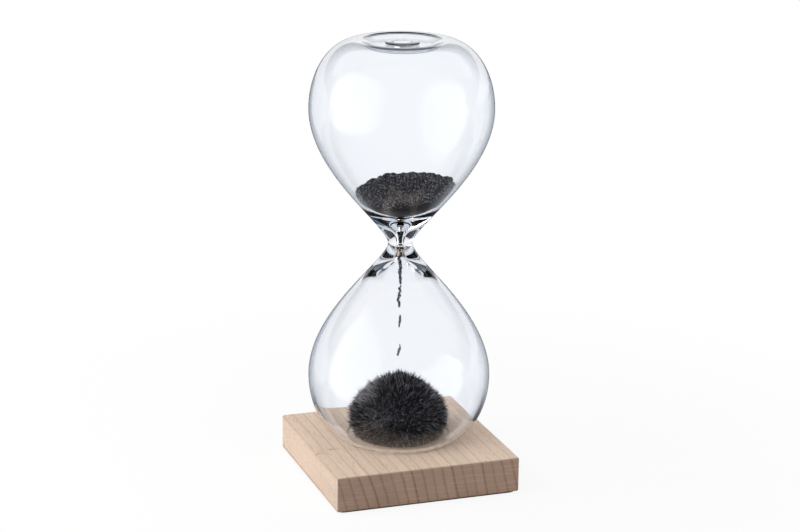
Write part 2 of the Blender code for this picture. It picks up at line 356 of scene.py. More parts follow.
def needles(bases: Array, ways: Array, lengths: Array, widths: Array, bends: Array) -> Surface:
    """Tapered, slightly bent needles with three sides and two rings of points below the tip.

    Point (k, i, j) is base_k + L_k t_i way_k + t_i^2 bend_k + w_k (1 - t_i)^0.7 (cos a_j e_k + sin a_j f_k),
    where e_k and f_k are square to way_k. The tip is base_k + L_k way_k + bend_k. The tone runs from 0 at the
    foot to 1 at the tip.

    Args:
        bases: The needles' feet.
        ways: Unit vectors along them.
        lengths: Their lengths.
        widths: Half their widths at the foot.
        bends: How far the tips lean away from the straight line.

    Returns:
        All needles, with their tone: painted shade at the foot and a painted highlight at the tip.
    """
    count, sides, rings = len(bases), 3, 2
    first, second = cross_frame(ways)
    t = np.linspace(0.0, 1.0, rings, endpoint=False)[None, :, None]
    line = bases[:, None] + lengths[:, None, None] * t * ways[:, None] + t**2 * bends[:, None]
    angles = full_turn(sides)
    spoke = first[:, None] * np.cos(angles)[:, None] + second[:, None] * np.sin(angles)[:, None]
    taper = widths[:, None, None] * (1.0 - t) ** 0.7
    body = line[:, :, None] + taper[..., None] * spoke[:, None]
    tips = bases + lengths[:, None] * ways + bends
    points = np.concatenate([body.reshape(count, -1, 3), tips[:, None]], axis=1)
    here, after = np.arange(sides), np.roll(np.arange(sides), -1)
    low = (np.arange(rings - 1) * sides)[:, None]
    walls = np.stack([low + here, low + after, low + sides + after, low + sides + here], axis=-1).reshape(-1, 4)
    feet = here[::-1][None]
    top = (rings - 1) * sides
    points_end = np.stack([top + here, top + after, np.full(sides, rings * sides)], axis=1)
    start = (np.arange(count) * (rings * sides + 1))[:, None, None]
    faces = [(start + walls).reshape(-1, 4), (start + np.concatenate([feet, points_end])).reshape(-1, 3)]
    # Tone from 0 at the foot to 1 at the tip: painted shade low down, a painted highlight at the tip.
    height = np.append(np.repeat(np.linspace(0.0, 1.0, rings, endpoint=False), sides), 1.0)
    return Surface(points.reshape(-1, 3), faces, {Paint.TONE: np.tile(height, count)})


def make_piece(
    name: str,
    surface: Surface,
    finish: Material,
    body: Body,
    stands_for: Sequence[str],
    sharp_angle: float | None = None,
) -> Piece:
    """Makes an object of a surface, dresses it and hangs it on its body.

    Args:
        name: The piece's name.
        surface: Its shape.
        finish: Its material.
        body: The body that it rides on.
        stands_for: The solids that it replaces.
        sharp_angle: Edges that turn more than this stay sharp, in radians.

    Returns:
        The object.
    """
    mesh = surface.mesh(name)
    if sharp_angle is not None:
        mesh.set_sharp_from_angle(angle=sharp_angle)
    mesh.materials.append(finish)
    made = bpy.data.objects.new(name, mesh)
    bpy.context.scene.collection.objects.link(made)
    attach(made, body.value)
    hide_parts(*stands_for)
    log.info("%s: %d points, %d faces, rides on %s", name, len(mesh.vertices), len(mesh.polygons), body.value)
    return made


# Finishes


class NodePatch:
    """A node tree, with short calls that add a node, set it and wire it."""

    def __init__(self, tree: bpy.types.NodeTree) -> None:
        """Takes the tree that nodes are added to."""
        self.tree = tree

    def add(self, kind: str, wiring: Wiring | None = None, **settings: object) -> Node:
        """Adds a node.

        Args:
            kind: The node's type without its ShaderNode prefix.
            wiring: What goes into its sockets: another node's socket, or a plain value.
            settings: The node's own options.

        Returns:
            The node.
        """
        node = self.tree.nodes.new("ShaderNode" + kind)
        for option, value in settings.items():
            setattr(node, option, value)
        for key, value in (wiring or {}).items():
            self.feed(node, key, value)
        return node

    def feed(self, node: Node, key: str | int, value: object) -> None:
        """Wires a socket into a node's input, or sets a plain value there.

        Args:
            node: The node.
            key: The input's name or number.
            value: A socket or a value.
        """
        if isinstance(value, Socket):
            self.tree.links.new(value, node.inputs[key])
        else:
            node.inputs[key].default_value = value

    def math(self, operation: str, first: object, second: object = 0.0, third: object = 0.0) -> Socket:
        """The result of a Math node."""
        return self.add("Math", {0: first, 1: second, 2: third}, operation=operation).outputs[0]

    def span(self, value: object, low: float, high: float, start: float = 0.0, end: float = 1.0) -> Socket:
        """A value eased from one range to another, and held at its ends."""
        wiring = {"Value": value, "From Min": low, "From Max": high, "To Min": start, "To Max": end}
        return self.add("MapRange", wiring, interpolation_type="SMOOTHSTEP").outputs["Result"]

    def mix(self, share: object, first: object, second: object, blend: str = "MIX") -> Socket:
        """A blend of two colours.

        Args:
            share: How much of the second colour there is.
            first: The first colour, or a socket that gives it.
            second: The second one.
            blend: How they are blended.

        Returns:
            The blended colour.
        """
        node = self.add("Mix", data_type="RGBA", blend_type=blend)
        colours = [socket for socket in node.inputs if socket.type == "RGBA"]
        self.feed(node, 0, share)
        for socket, value in zip(colours, (first, second)):
            if isinstance(value, Socket):
                self.tree.links.new(value, socket)
            else:
                socket.default_value = (*value, 1.0)
        return next(socket for socket in node.outputs if socket.type == "RGBA")

    def scaled(self, vector: Socket, scale: Point, place: Point = (0, 0, 0)) -> Socket:
        """Coordinates stretched and then moved by a Mapping node."""
        wiring = {"Vector": vector, "Location": place, "Scale": scale}
        return self.add("Mapping", wiring, vector_type="POINT").outputs["Vector"]

    def noise(self, vector: Socket, scale: float, detail: float = 2.0, roughness: float = 0.5) -> Socket:
        """A Noise texture's value."""
        wiring = {"Vector": vector, "Scale": scale, "Detail": detail, "Roughness": roughness}
        return self.add("TexNoise", wiring).outputs[0]

    def stretched_noise(self, place: Socket, scale: Point, detail: float = 2.0, roughness: float = 0.5) -> Socket:
        """A Noise texture's value, with its own scale along each axis."""
        return self.noise(self.scaled(place, scale), 1.0, detail, roughness)

    def length(self, vector: Socket) -> Socket:
        """A vector's length."""
        return self.add("VectorMath", {0: vector}, operation="LENGTH").outputs["Value"]

    def reach(self, vector: Socket, way: Point) -> Socket:
        """How far a vector reaches in a direction."""
        return self.add("VectorMath", {0: vector, 1: way}, operation="DOT_PRODUCT").outputs["Value"]

    def place(self) -> Socket:
        """Object coordinates, which are the shared frame's."""
        return self.add("TexCoord").outputs["Object"]

    def painted(self, kind: Paint) -> Socket:
        """A value painted on the mesh's points."""
        return self.add("Attribute", attribute_name=kind.value).outputs["Fac"]


@dataclass(frozen=True)
class Finish:
    """A material made of nodes.

    Attributes:
        name: The material's name.
    """

    name: str

    def material(self) -> Material:
        """Makes the material.

        Returns:
            The material, with its nodes.
        """
        made = bpy.data.materials.new(self.name)
        made.use_nodes = True
        patch = NodePatch(made.node_tree)
        shader = made.node_tree.nodes["Principled BSDF"]
        self.wire(patch, shader, made.node_tree.nodes["Material Output"])
        return made

    def wire(self, patch: NodePatch, shader: Node, output: Node) -> None:
        """Adds the finish's own nodes.

        Args:
            patch: The material's node tree.
            shader: Its Principled shader.
            output: Its output node.
        """
        raise NotImplementedError

    def bump(self, patch: NodePatch, shader: Node, height: object, depth: float, strength: float) -> None:
        """Raises the surface by a height from 0 to 1 times a depth in metres."""
        node = patch.add("Bump", {"Height": height, "Distance": depth, "Strength": strength})
        patch.feed(shader, "Normal", node.outputs["Normal"])


@dataclass(frozen=True)
class BeechFinish(Finish):
    """Pale beech with the grain along Y.

    Growth rings are cylinders about a pith line that lies along Y, outside the block. Each ring ends in a thin
    dark line.

    Attributes:
        pith: Where the pith line is, as x and z.
        ring: Width of a growth ring.
        early: Colour of the wood between the lines on the long faces.
        late: Colour of the lines there.
        fibre: Colour of the fibres there.
        shaded_end_early: Colour between the lines on end grain, darkened further as painted shade.
        shaded_end_late: Colour of the lines there, also darkened as painted shade.
        shaded_end_fibre: Colour of the fibres there, also darkened as painted shade.
        sawn: Colour of the saw marks there.
        darkened: Colour of the block's darker rounded edges, and of the painted shade on the dish's rim and wall.
        knot: Colour of the pin knots.
        halo: Colour round them.
        knots: Places of the pin knots.
        knot_shape: How fast the distance from a knot grows along each axis.
        relief: Depth of fibres, flecks and saw marks.
    """

    pith: tuple[float, float] = (-250.0 * MM, -56.0 * MM)
    ring: float = 4.3 * MM
    early: Colour = (0.785, 0.620, 0.498)
    late: Colour = (0.455, 0.292, 0.188)
    fibre: Colour = (0.63, 0.455, 0.325)
    shaded_end_early: Colour = (0.400, 0.270, 0.196)
    shaded_end_late: Colour = (0.215, 0.106, 0.070)
    shaded_end_fibre: Colour = (0.40, 0.265, 0.19)
    sawn: Colour = (0.66, 0.50, 0.39)
    darkened: Colour = (0.40, 0.25, 0.165)
    knot: Colour = (0.330, 0.175, 0.095)
    halo: Colour = (0.60, 0.42, 0.28)
    knots: tuple[tuple[float, float, float], ...] = (
        (-32.2 * MM, -6.9 * MM, 15.6 * MM),
        (-39.7 * MM, -10.3 * MM, 15.4 * MM),
    )
    knot_shape: tuple[float, float, float] = (0.5, 1.7, 1.0)
    relief: float = 0.12 * MM

    def wire(self, patch: NodePatch, shader: Node, output: Node) -> None:
        """Wires rings, fibres, flecks, saw marks, knots, dark edges and painted shade into colour, roughness and
        bump.

        Args:
            patch: The material's node tree.
            shader: Its Principled shader.
            output: Its output node.
        """
        place = patch.add("TexCoord")
        point = place.outputs["Object"]
        facing = patch.add("SeparateXYZ", {0: place.outputs["Normal"]}).outputs["Y"]
        # End grain faces front and back; its colours are darker than the long faces', partly as painted shade.
        end = patch.span(patch.math("ABSOLUTE", facing), 0.45, 0.85)
        line, tint = self.rings(patch, point)
        fibre = patch.stretched_noise(point, (900.0, 16.0, 900.0), 4.0, 0.6)
        fleck = patch.span(patch.stretched_noise(point, (1700.0, 260.0, 1700.0), 1.0), 0.56, 0.70)
        cloud = patch.stretched_noise(point, (34.0, 10.0, 34.0), 3.0)
        long_line = patch.math("MULTIPLY", line, patch.span(fibre, 0.30, 0.75, 0.35, 0.95))
        side = patch.mix(long_line, self.early, self.late)
        side = patch.mix(patch.math("MULTIPLY", fleck, 0.42), side, self.late)
        side = patch.mix(patch.span(fibre, 0.35, 0.75, 0.0, 0.42), side, self.fibre)
        # End grain colours: the wood's own darker end grain, plus painted shade.
        cut = patch.mix(patch.math("MULTIPLY", line, 0.95), self.shaded_end_early, self.shaded_end_late)
        cut = patch.mix(patch.span(fibre, 0.40, 0.80, 0.0, 0.35), cut, self.shaded_end_fibre)
        saw = patch.stretched_noise(point, (70.0, 70.0, 1500.0), 2.0)
        cut = patch.mix(patch.span(saw, 0.45, 0.75, 0.0, 0.22), cut, self.sawn)
        wood = patch.mix(end, side, cut)
        shade = patch.math("ADD", patch.span(cloud, 0.25, 0.75, 0.90, 1.06), patch.math("MULTIPLY", tint, 0.06))
        grey = patch.add("CombineColor", {0: shade, 1: shade, 2: shade}).outputs[0]
        wood = patch.mix(1.0, wood, grey, "MULTIPLY")
        # Darker on the block's rounded edges, and painted shade on the rim and wall of the dish.
        edges = patch.painted(Paint.DARK_EDGE)
        wood = patch.mix(patch.math("MULTIPLY", edges, 0.45), wood, self.darkened)
        spot, surround = self.pin_knots(patch, point)
        wood = patch.mix(surround, wood, self.halo)
        wood = patch.mix(spot, wood, self.knot)
        patch.feed(shader, "Base Color", wood)
        patch.feed(shader, "Roughness", patch.span(fibre, 0.2, 0.8, 0.52, 0.70))
        raised = patch.math("MULTIPLY_ADD", saw, end, patch.math("MULTIPLY", fibre, 0.8))
        raised = patch.math("SUBTRACT", raised, patch.math("MULTIPLY", fleck, 0.5))
        self.bump(patch, shader, raised, self.relief, 0.55)

    def rings(self, patch: NodePatch, point: Socket) -> tuple[Socket, Socket]:
        """The growth rings: the distance from the pith line over the ring width, with its whole part taken off.

        Args:
            patch: The material's node tree.
            point: Object coordinates.

        Returns:
            How dark the ring line is, and a random tint of each ring.
        """
        centred = patch.scaled(point, (1.0, 0.0, 1.0), (-self.pith[0], 0.0, -self.pith[1]))
        distance = patch.length(centred)
        drift = patch.stretched_noise(point, (55.0, 12.0, 55.0), 2.0)
        ripple = patch.stretched_noise(point, (420.0, 20.0, 420.0), 1.0)
        phase = patch.math("DIVIDE", distance, self.ring)
        phase = patch.math("MULTIPLY_ADD", drift, 0.45, phase)
        phase = patch.math("MULTIPLY_ADD", ripple, 0.06, phase)
        within = patch.math("FRACT", phase)
        number = patch.math("FLOOR", phase)
        chance = patch.add("TexWhiteNoise", {"W": number}, noise_dimensions="1D").outputs["Value"]
        rise = patch.span(within, 0.66, 0.91)
        fall = patch.span(within, 0.94, 1.0, 1.0, 0.0)
        weight = patch.math("MULTIPLY_ADD", chance, 0.6, 0.4)
        return patch.math("MULTIPLY", patch.math("MULTIPLY", rise, fall), weight), chance

    def pin_knots(self, patch: NodePatch, point: Socket) -> tuple[Socket, Socket]:
        """Small dark knots, by the ragged distance from the nearest one, stretched by the knots' shape.

        Args:
            patch: The material's node tree.
            point: Object coordinates.

        Returns:
            The dark spots, and the paler rings round them.
        """
        ragged = patch.math("MULTIPLY", patch.noise(point, 1300.0, 2.0), 1.2 * MM)
        nearest: object = 1.0
        for place in self.knots:
            away = patch.add("VectorMath", {0: point, 1: place}, operation="SUBTRACT").outputs["Vector"]
            length = patch.length(patch.scaled(away, self.knot_shape))
            nearest = patch.math("MINIMUM", nearest, length)
        nearest = patch.math("ADD", nearest, ragged)
        spot = patch.span(nearest, 0.9 * MM, 1.5 * MM, 0.85, 0.0)
        return spot, patch.span(nearest, 1.2 * MM, 4.2 * MM, 0.55, 0.0)


@dataclass(frozen=True)
class GlassFinish(Finish):
    """Clear blown glass: a little uneven, and faintly blue-grey where it is thick.

    Attributes:
        skin: What light keeps at each surface that it passes.
        tint: What light keeps on its way through thick glass.
        density: How fast it is tinted, per metre.
        refraction: How strongly it bends light.
        waviness: Depth of the unevenness that blowing leaves.
        gloss: How much it mirrors where light falls on it squarely.
    """

    skin: Colour = (0.966, 0.977, 0.996)
    tint: Colour = (0.80, 0.86, 0.93)
    density: float = 20.0
    refraction: float = 1.47
    waviness: float = 0.02 * MM
    gloss: float = 0.17

    def wire(self, patch: NodePatch, shader: Node, output: Node) -> None:
        """Wires the unevenness into the normal, and the tint into the volume.

        Args:
            patch: The material's node tree.
            shader: Its Principled shader.
            output: Its output node.
        """
        shader.inputs["Base Color"].default_value = (*self.skin, 1.0)
        shader.inputs["Roughness"].default_value = 0.0
        shader.inputs["IOR"].default_value = self.refraction
        shader.inputs["Transmission Weight"].default_value = 1.0
        shader.inputs["Specular Tint"].default_value = (self.gloss, self.gloss, self.gloss, 1.0)
        point = patch.place()
        uneven = patch.stretched_noise(point, (90.0, 90.0, 45.0), 1.0)
        self.bump(patch, shader, uneven, self.waviness, 0.35)
        absorbs = patch.add("VolumeAbsorption", {"Color": (*self.tint, 1.0), "Density": self.density})
        patch.feed(output, "Volume", absorbs.outputs[0])


@dataclass(frozen=True)
class FilingsFinish(Finish):
    """Black iron filings: each grain has its own tone, and some are brown with rust.

    Attributes:
        dark: Colour of the darkest grains.
        pale: Colour of the palest grains, and of the painted highlights on needles and loose grains.
        rusty: Colour of rusty grains.
        metal: How metallic they are.
        relief: Depth of their speckle.
    """

    dark: Colour = (0.006, 0.006, 0.007)
    pale: Colour = (0.450, 0.440, 0.470)
    rusty: Colour = (0.120, 0.075, 0.048)
    metal: float = 0.35
    relief: float = 0.10 * MM

    def wire(self, patch: NodePatch, shader: Node, output: Node) -> None:
        """Wires the painted tone and rust, and a fine speckle, into colour and roughness.

        Args:
            patch: The material's node tree.
            shader: Its Principled shader.
            output: Its output node.
        """
        point = patch.place()
        tone, rust = patch.painted(Paint.TONE), patch.painted(Paint.RUST)
        speckle = patch.noise(point, 2600.0, 2.0, 0.7)
        # The tone holds random grain tones, and painted highlights on needles and loose grains.
        level = patch.math("MULTIPLY", tone, patch.span(speckle, 0.25, 0.75, 0.55, 1.35))
        iron = patch.mix(level, self.dark, self.pale)
        stain = patch.math("MULTIPLY", rust, patch.span(speckle, 0.35, 0.65, 0.3, 1.0))
        iron = patch.mix(stain, iron, self.rusty)
        patch.feed(shader, "Base Color", iron)
        patch.feed(shader, "Roughness", patch.span(speckle, 0.2, 0.8, 0.34, 0.62))
        shader.inputs["Metallic"].default_value = self.metal
        self.bump(patch, shader, speckle, self.relief, 0.5)


@dataclass(frozen=True)
class FeltFinish(Finish):
    """Thin dark felt with short matted fibres; its edge under the block is a painted shadow line.

    Attributes:
        deep: Colour between the fibres.
        fluff: Colour of the fibres.
        sheen: Soft gloss of the fluff.
        relief: Depth of the fibres.
    """

    deep: Colour = (0.035, 0.028, 0.024)
    fluff: Colour = (0.115, 0.095, 0.080)
    sheen: float = 0.25
    relief: float = 0.20 * MM

    def wire(self, patch: NodePatch, shader: Node, output: Node) -> None:
        """Wires two crossed layers of fibres into colour and bump.

        Args:
            patch: The material's node tree.
            shader: Its Principled shader.
            output: Its output node.
        """
        point = patch.place()
        along = patch.stretched_noise(point, (2600.0, 520.0, 1800.0), 3.0, 0.65)
        across = patch.stretched_noise(point, (480.0, 2400.0, 1800.0), 3.0, 0.65)
        fibre = patch.math("MAXIMUM", along, across)
        patch.feed(shader, "Base Color", patch.mix(patch.span(fibre, 0.42, 0.78), self.deep, self.fluff))
        patch.feed(shader, "Roughness", patch.span(fibre, 0.3, 0.8, 1.0, 0.86))
        shader.inputs["Sheen Weight"].default_value = self.sheen
        self.bump(patch, shader, fibre, self.relief, 0.8)


@dataclass(frozen=True)
class FerriteFinish(Finish):
    """Sintered ferrite: dull dark grey, with ground faces and small pits.

    Attributes:
        body: The ferrite's colour.
        ground: Colour of the ground marks.
        relief: Depth of marks and pits.
    """

    body: Colour = (0.060, 0.061, 0.066)
    ground: Colour = (0.130, 0.131, 0.138)
    relief: float = 0.06 * MM

    def wire(self, patch: NodePatch, shader: Node, output: Node) -> None:
        """Wires grinding marks and pits into colour, roughness and bump.

        Args:
            patch: The material's node tree.
            shader: Its Principled shader.
            output: Its output node.
        """
        point = patch.place()
        marks = patch.stretched_noise(point, (2200.0, 90.0, 600.0), 3.0, 0.6)
        pits = patch.span(patch.noise(point, 1700.0, 2.0), 0.64, 0.72)
        patch.feed(shader, "Base Color", patch.mix(patch.span(marks, 0.4, 0.8), self.body, self.ground))
        patch.feed(shader, "Roughness", patch.span(marks, 0.3, 0.8, 0.62, 0.42))
        self.bump(patch, shader, patch.math("SUBTRACT", marks, pits), self.relief, 0.6)


# The object's own pieces


@dataclass
class WoodenBase:
    """The square block with its turned dish, the felt under it and the magnet in its pocket.

    Attributes:
        half_side: Half the block's width.
        top: Height of the top face.
        edge: Rounding of the block's edges.
        bottom: Height of the block's underside, over the felt.
        dish_radius: Radius of the dish that the glass stands in.
        dish_depth: Its depth.
        dish_lip: Rounding of its edge.
        pocket_radius: Radius of the magnet's pocket.
        pocket_roof: Height of the pocket's roof.
        pad_inset: Felt's edge to the block's edge.
        pad_corner: Felt's corner radius.
        pad_edge: Rounding of the felt's cut edge.
        pad_gap: Space between the felt and the block.
        pad_centre: Radius of the innermost ring of its faces.
        side_steps: Points along each side of a rounded square.
        corner_steps: Points round each of its corners.
        wall_steps: Steps up a straight side.
    """

    half_side: float = 40.0 * MM
    top: float = 15.6 * MM
    edge: float = 0.8 * MM
    bottom: float = 0.62 * MM
    dish_radius: float = 22.6 * MM
    dish_depth: float = 0.6 * MM
    dish_lip: float = 0.15 * MM
    pocket_radius: float = 17.8 * MM
    pocket_roof: float = 9.2 * MM
    pad_inset: float = 0.9 * MM
    pad_corner: float = 3.0 * MM
    pad_edge: float = 0.22 * MM
    pad_gap: float = 0.02 * MM
    pad_centre: float = 4.0 * MM
    side_steps: int = 48
    corner_steps: int = 10
    wall_steps: int = 12

    def square_path(self) -> tuple[Array, Array]:
        """A rounded square, as what its corner radius is added to.

        A point at half side h and corner radius c is (h - c) corner + c normal: the corner part runs along a
        square of half side 1, and stays where the normal turns.

        Returns:
            The corner parts and the normals.
        """
        along = np.linspace(-1.0, 1.0, self.side_steps, endpoint=False)
        turn = np.linspace(0.0, math.pi / 2, self.corner_steps, endpoint=False)
        flat = np.stack([np.ones_like(along), along], axis=1)
        ahead = np.tile([1.0, 0.0], (self.side_steps, 1))
        corner = np.ones((self.corner_steps, 2))
        round_normal = np.stack([np.cos(turn), np.sin(turn)], axis=1)
        part, normal = np.concatenate([flat, corner]), np.concatenate([ahead, round_normal])
        quarter = np.array([[0.0, 1.0], [-1.0, 0.0]])
        turns = [np.linalg.matrix_power(quarter, k) for k in range(4)]
        return np.concatenate([part @ m for m in turns]), np.concatenate([normal @ m for m in turns])

    def skin(self, square: float, corner: float, rings: Sequence[Point], first: float, last: float) -> Surface:
        """Rings that blend from a rounded square to a circle, closed by a pole at each end.

        Ring point j is (1 - b) [(h - c) corner_j + (c - inset) normal_j] + b radius (cos a_j, sin a_j), where
        a_j is the direction of the square's point j.

        Args:
            square: Half side h.
            corner: Corner radius c.
            rings: For each ring its inset, blend b, circle radius, height and edge darkness.
            first: Height of the first pole.
            last: Height of the last pole.

        Returns:
            The closed skin, with its edge darkness.
        """
        part, normal = self.square_path()
        outline = (square - corner) * part + corner * normal
        round_way = unit(outline)
        inset, blend, radius, height, edge_darkness = (np.array(column)[:, None, None] for column in zip(*rings))
        flat = (1 - blend) * ((square - corner) * part + (corner - inset) * normal) + blend * radius * round_way
        loops = np.concatenate([flat, np.broadcast_to(height, (*flat.shape[:2], 1))], axis=2)
        points = with_poles(first, loops.reshape(-1, 3), last)
        darkened = np.concatenate([[0.0], np.broadcast_to(edge_darkness[..., 0], flat.shape[:2]).ravel(), [0.0]])
        return Surface(points, ring_faces(len(loops), len(part)), {Paint.DARK_EDGE: darkened})

    def rounding(self, size: float, low: float, high: float, steps: int = 6) -> list[tuple[float, ...]]:
        """Rings up a side whose two edges are quarter circles.

        Args:
            size: The edges' radius.
            low: Height of the underside.
            high: Height of the top.
            steps: Steps in each quarter circle.

        Returns:
            The rings, with edge darkness that is strongest on the quarter circles.
        """
        angles = np.linspace(0.0, math.pi / 2, steps + 1)
        inset, rise, edge_darkness = size * (1 - np.sin(angles)), size * (1 - np.cos(angles)), np.sin(2 * angles)
        lower = [(i, 0.0, 0.0, low + r, w) for i, r, w in zip(inset, rise, edge_darkness)]
        levels, run = self.wall_steps, high - low - 2 * size
        middle = [(0.0, 0.0, 0.0, low + size + run * k / levels, 0.0) for k in range(1, levels)]
        upper = [(i, 0.0, 0.0, high - r, w) for i, r, w in zip(inset[::-1], rise[::-1], edge_darkness[::-1])]
        return lower + middle + upper

    def block(self, finish: Material) -> Piece:
        """The block: pocket roof and wall, underside, sides, top face, dish wall and dish floor.

        Args:
            finish: The beech.

        Returns:
            The block.
        """
        seat, lip = self.top - self.dish_depth, self.dish_lip
        shares = np.linspace(0.0, 1.0, 13)
        pocket = [(0.0, 1.0, self.pocket_radius * k, self.pocket_roof, 0.0) for k in (0.5, 1.0)]
        pocket += [(0.0, 1.0, self.pocket_radius, self.bottom, 0.0)]
        under = [(self.edge, 1.0 - k, self.pocket_radius, self.bottom, 0.0) for k in shares[1:-1]]
        over = [(self.edge, k, self.dish_radius + lip, self.top, 0.0) for k in shares[1:]]
        # The dish's rim and wall get edge darkness 0.6 and 0.3: painted shade in the recess.
        dish = [(0.0, 1.0, self.dish_radius + 0.3 * lip, self.top - 0.3 * lip, 0.6)]
        dish += [(0.0, 1.0, self.dish_radius, self.top - lip, 0.6), (0.0, 1.0, self.dish_radius, seat, 0.3)]
        dish += [(0.0, 1.0, self.dish_radius * k, seat, 0.0) for k in (0.96, 0.7, 0.4, 0.15)]
        rings = pocket + under + self.rounding(self.edge, self.bottom, self.top) + over + dish
        surface = self.skin(self.half_side, self.edge, rings, self.pocket_roof, seat)
        return make_piece("beech_block", surface, finish, Body.BASE, ["wood_base"], math.radians(40.0))

    def pad(self, finish: Material) -> Piece:
        """The felt: a thin sheet with round corners and a soft cut edge, dark as a painted shadow line under the
        block.

        Args:
            The felt.

        Returns:
            The felt, declared as a sheet.
        """
        half, thick = self.half_side - self.pad_inset, self.bottom - self.pad_gap
        shares = np.linspace(0.0, 1.0, 7)[1:-1]
        under = [(self.pad_edge, 1.0 - k, self.pad_centre, 0.0, 0.0) for k in shares]
        over = [(self.pad_edge, k, self.pad_centre, thick, 0.0) for k in shares]
        rings = under + self.rounding(self.pad_edge, 0.0, thick, 4) + over
        surface = self.skin(half, self.pad_corner, rings, 0.0, thick)
        made = make_piece("felt_pad", surface, finish, Body.BASE, ["base_pad"], math.radians(60.0))
        return made

    def build(self, nodes: dict[str, Piece]) -> None:
        """Builds and dresses the base.

        Args:
            nodes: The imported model's solids.
        """
        self.block(BeechFinish("pale_beech").material())
        # The felt's dark colour gives the line under the block's bottom edge: a painted shadow line.
        self.pad(FeltFinish("dark_felt").material())
        magnet = nodes["magnet_disc"]
        magnet.data.materials.clear()
        magnet.data.materials.append(FerriteFinish("sintered_ferrite").material())
        log.info("magnet_disc: the packed solid, with its own finish")


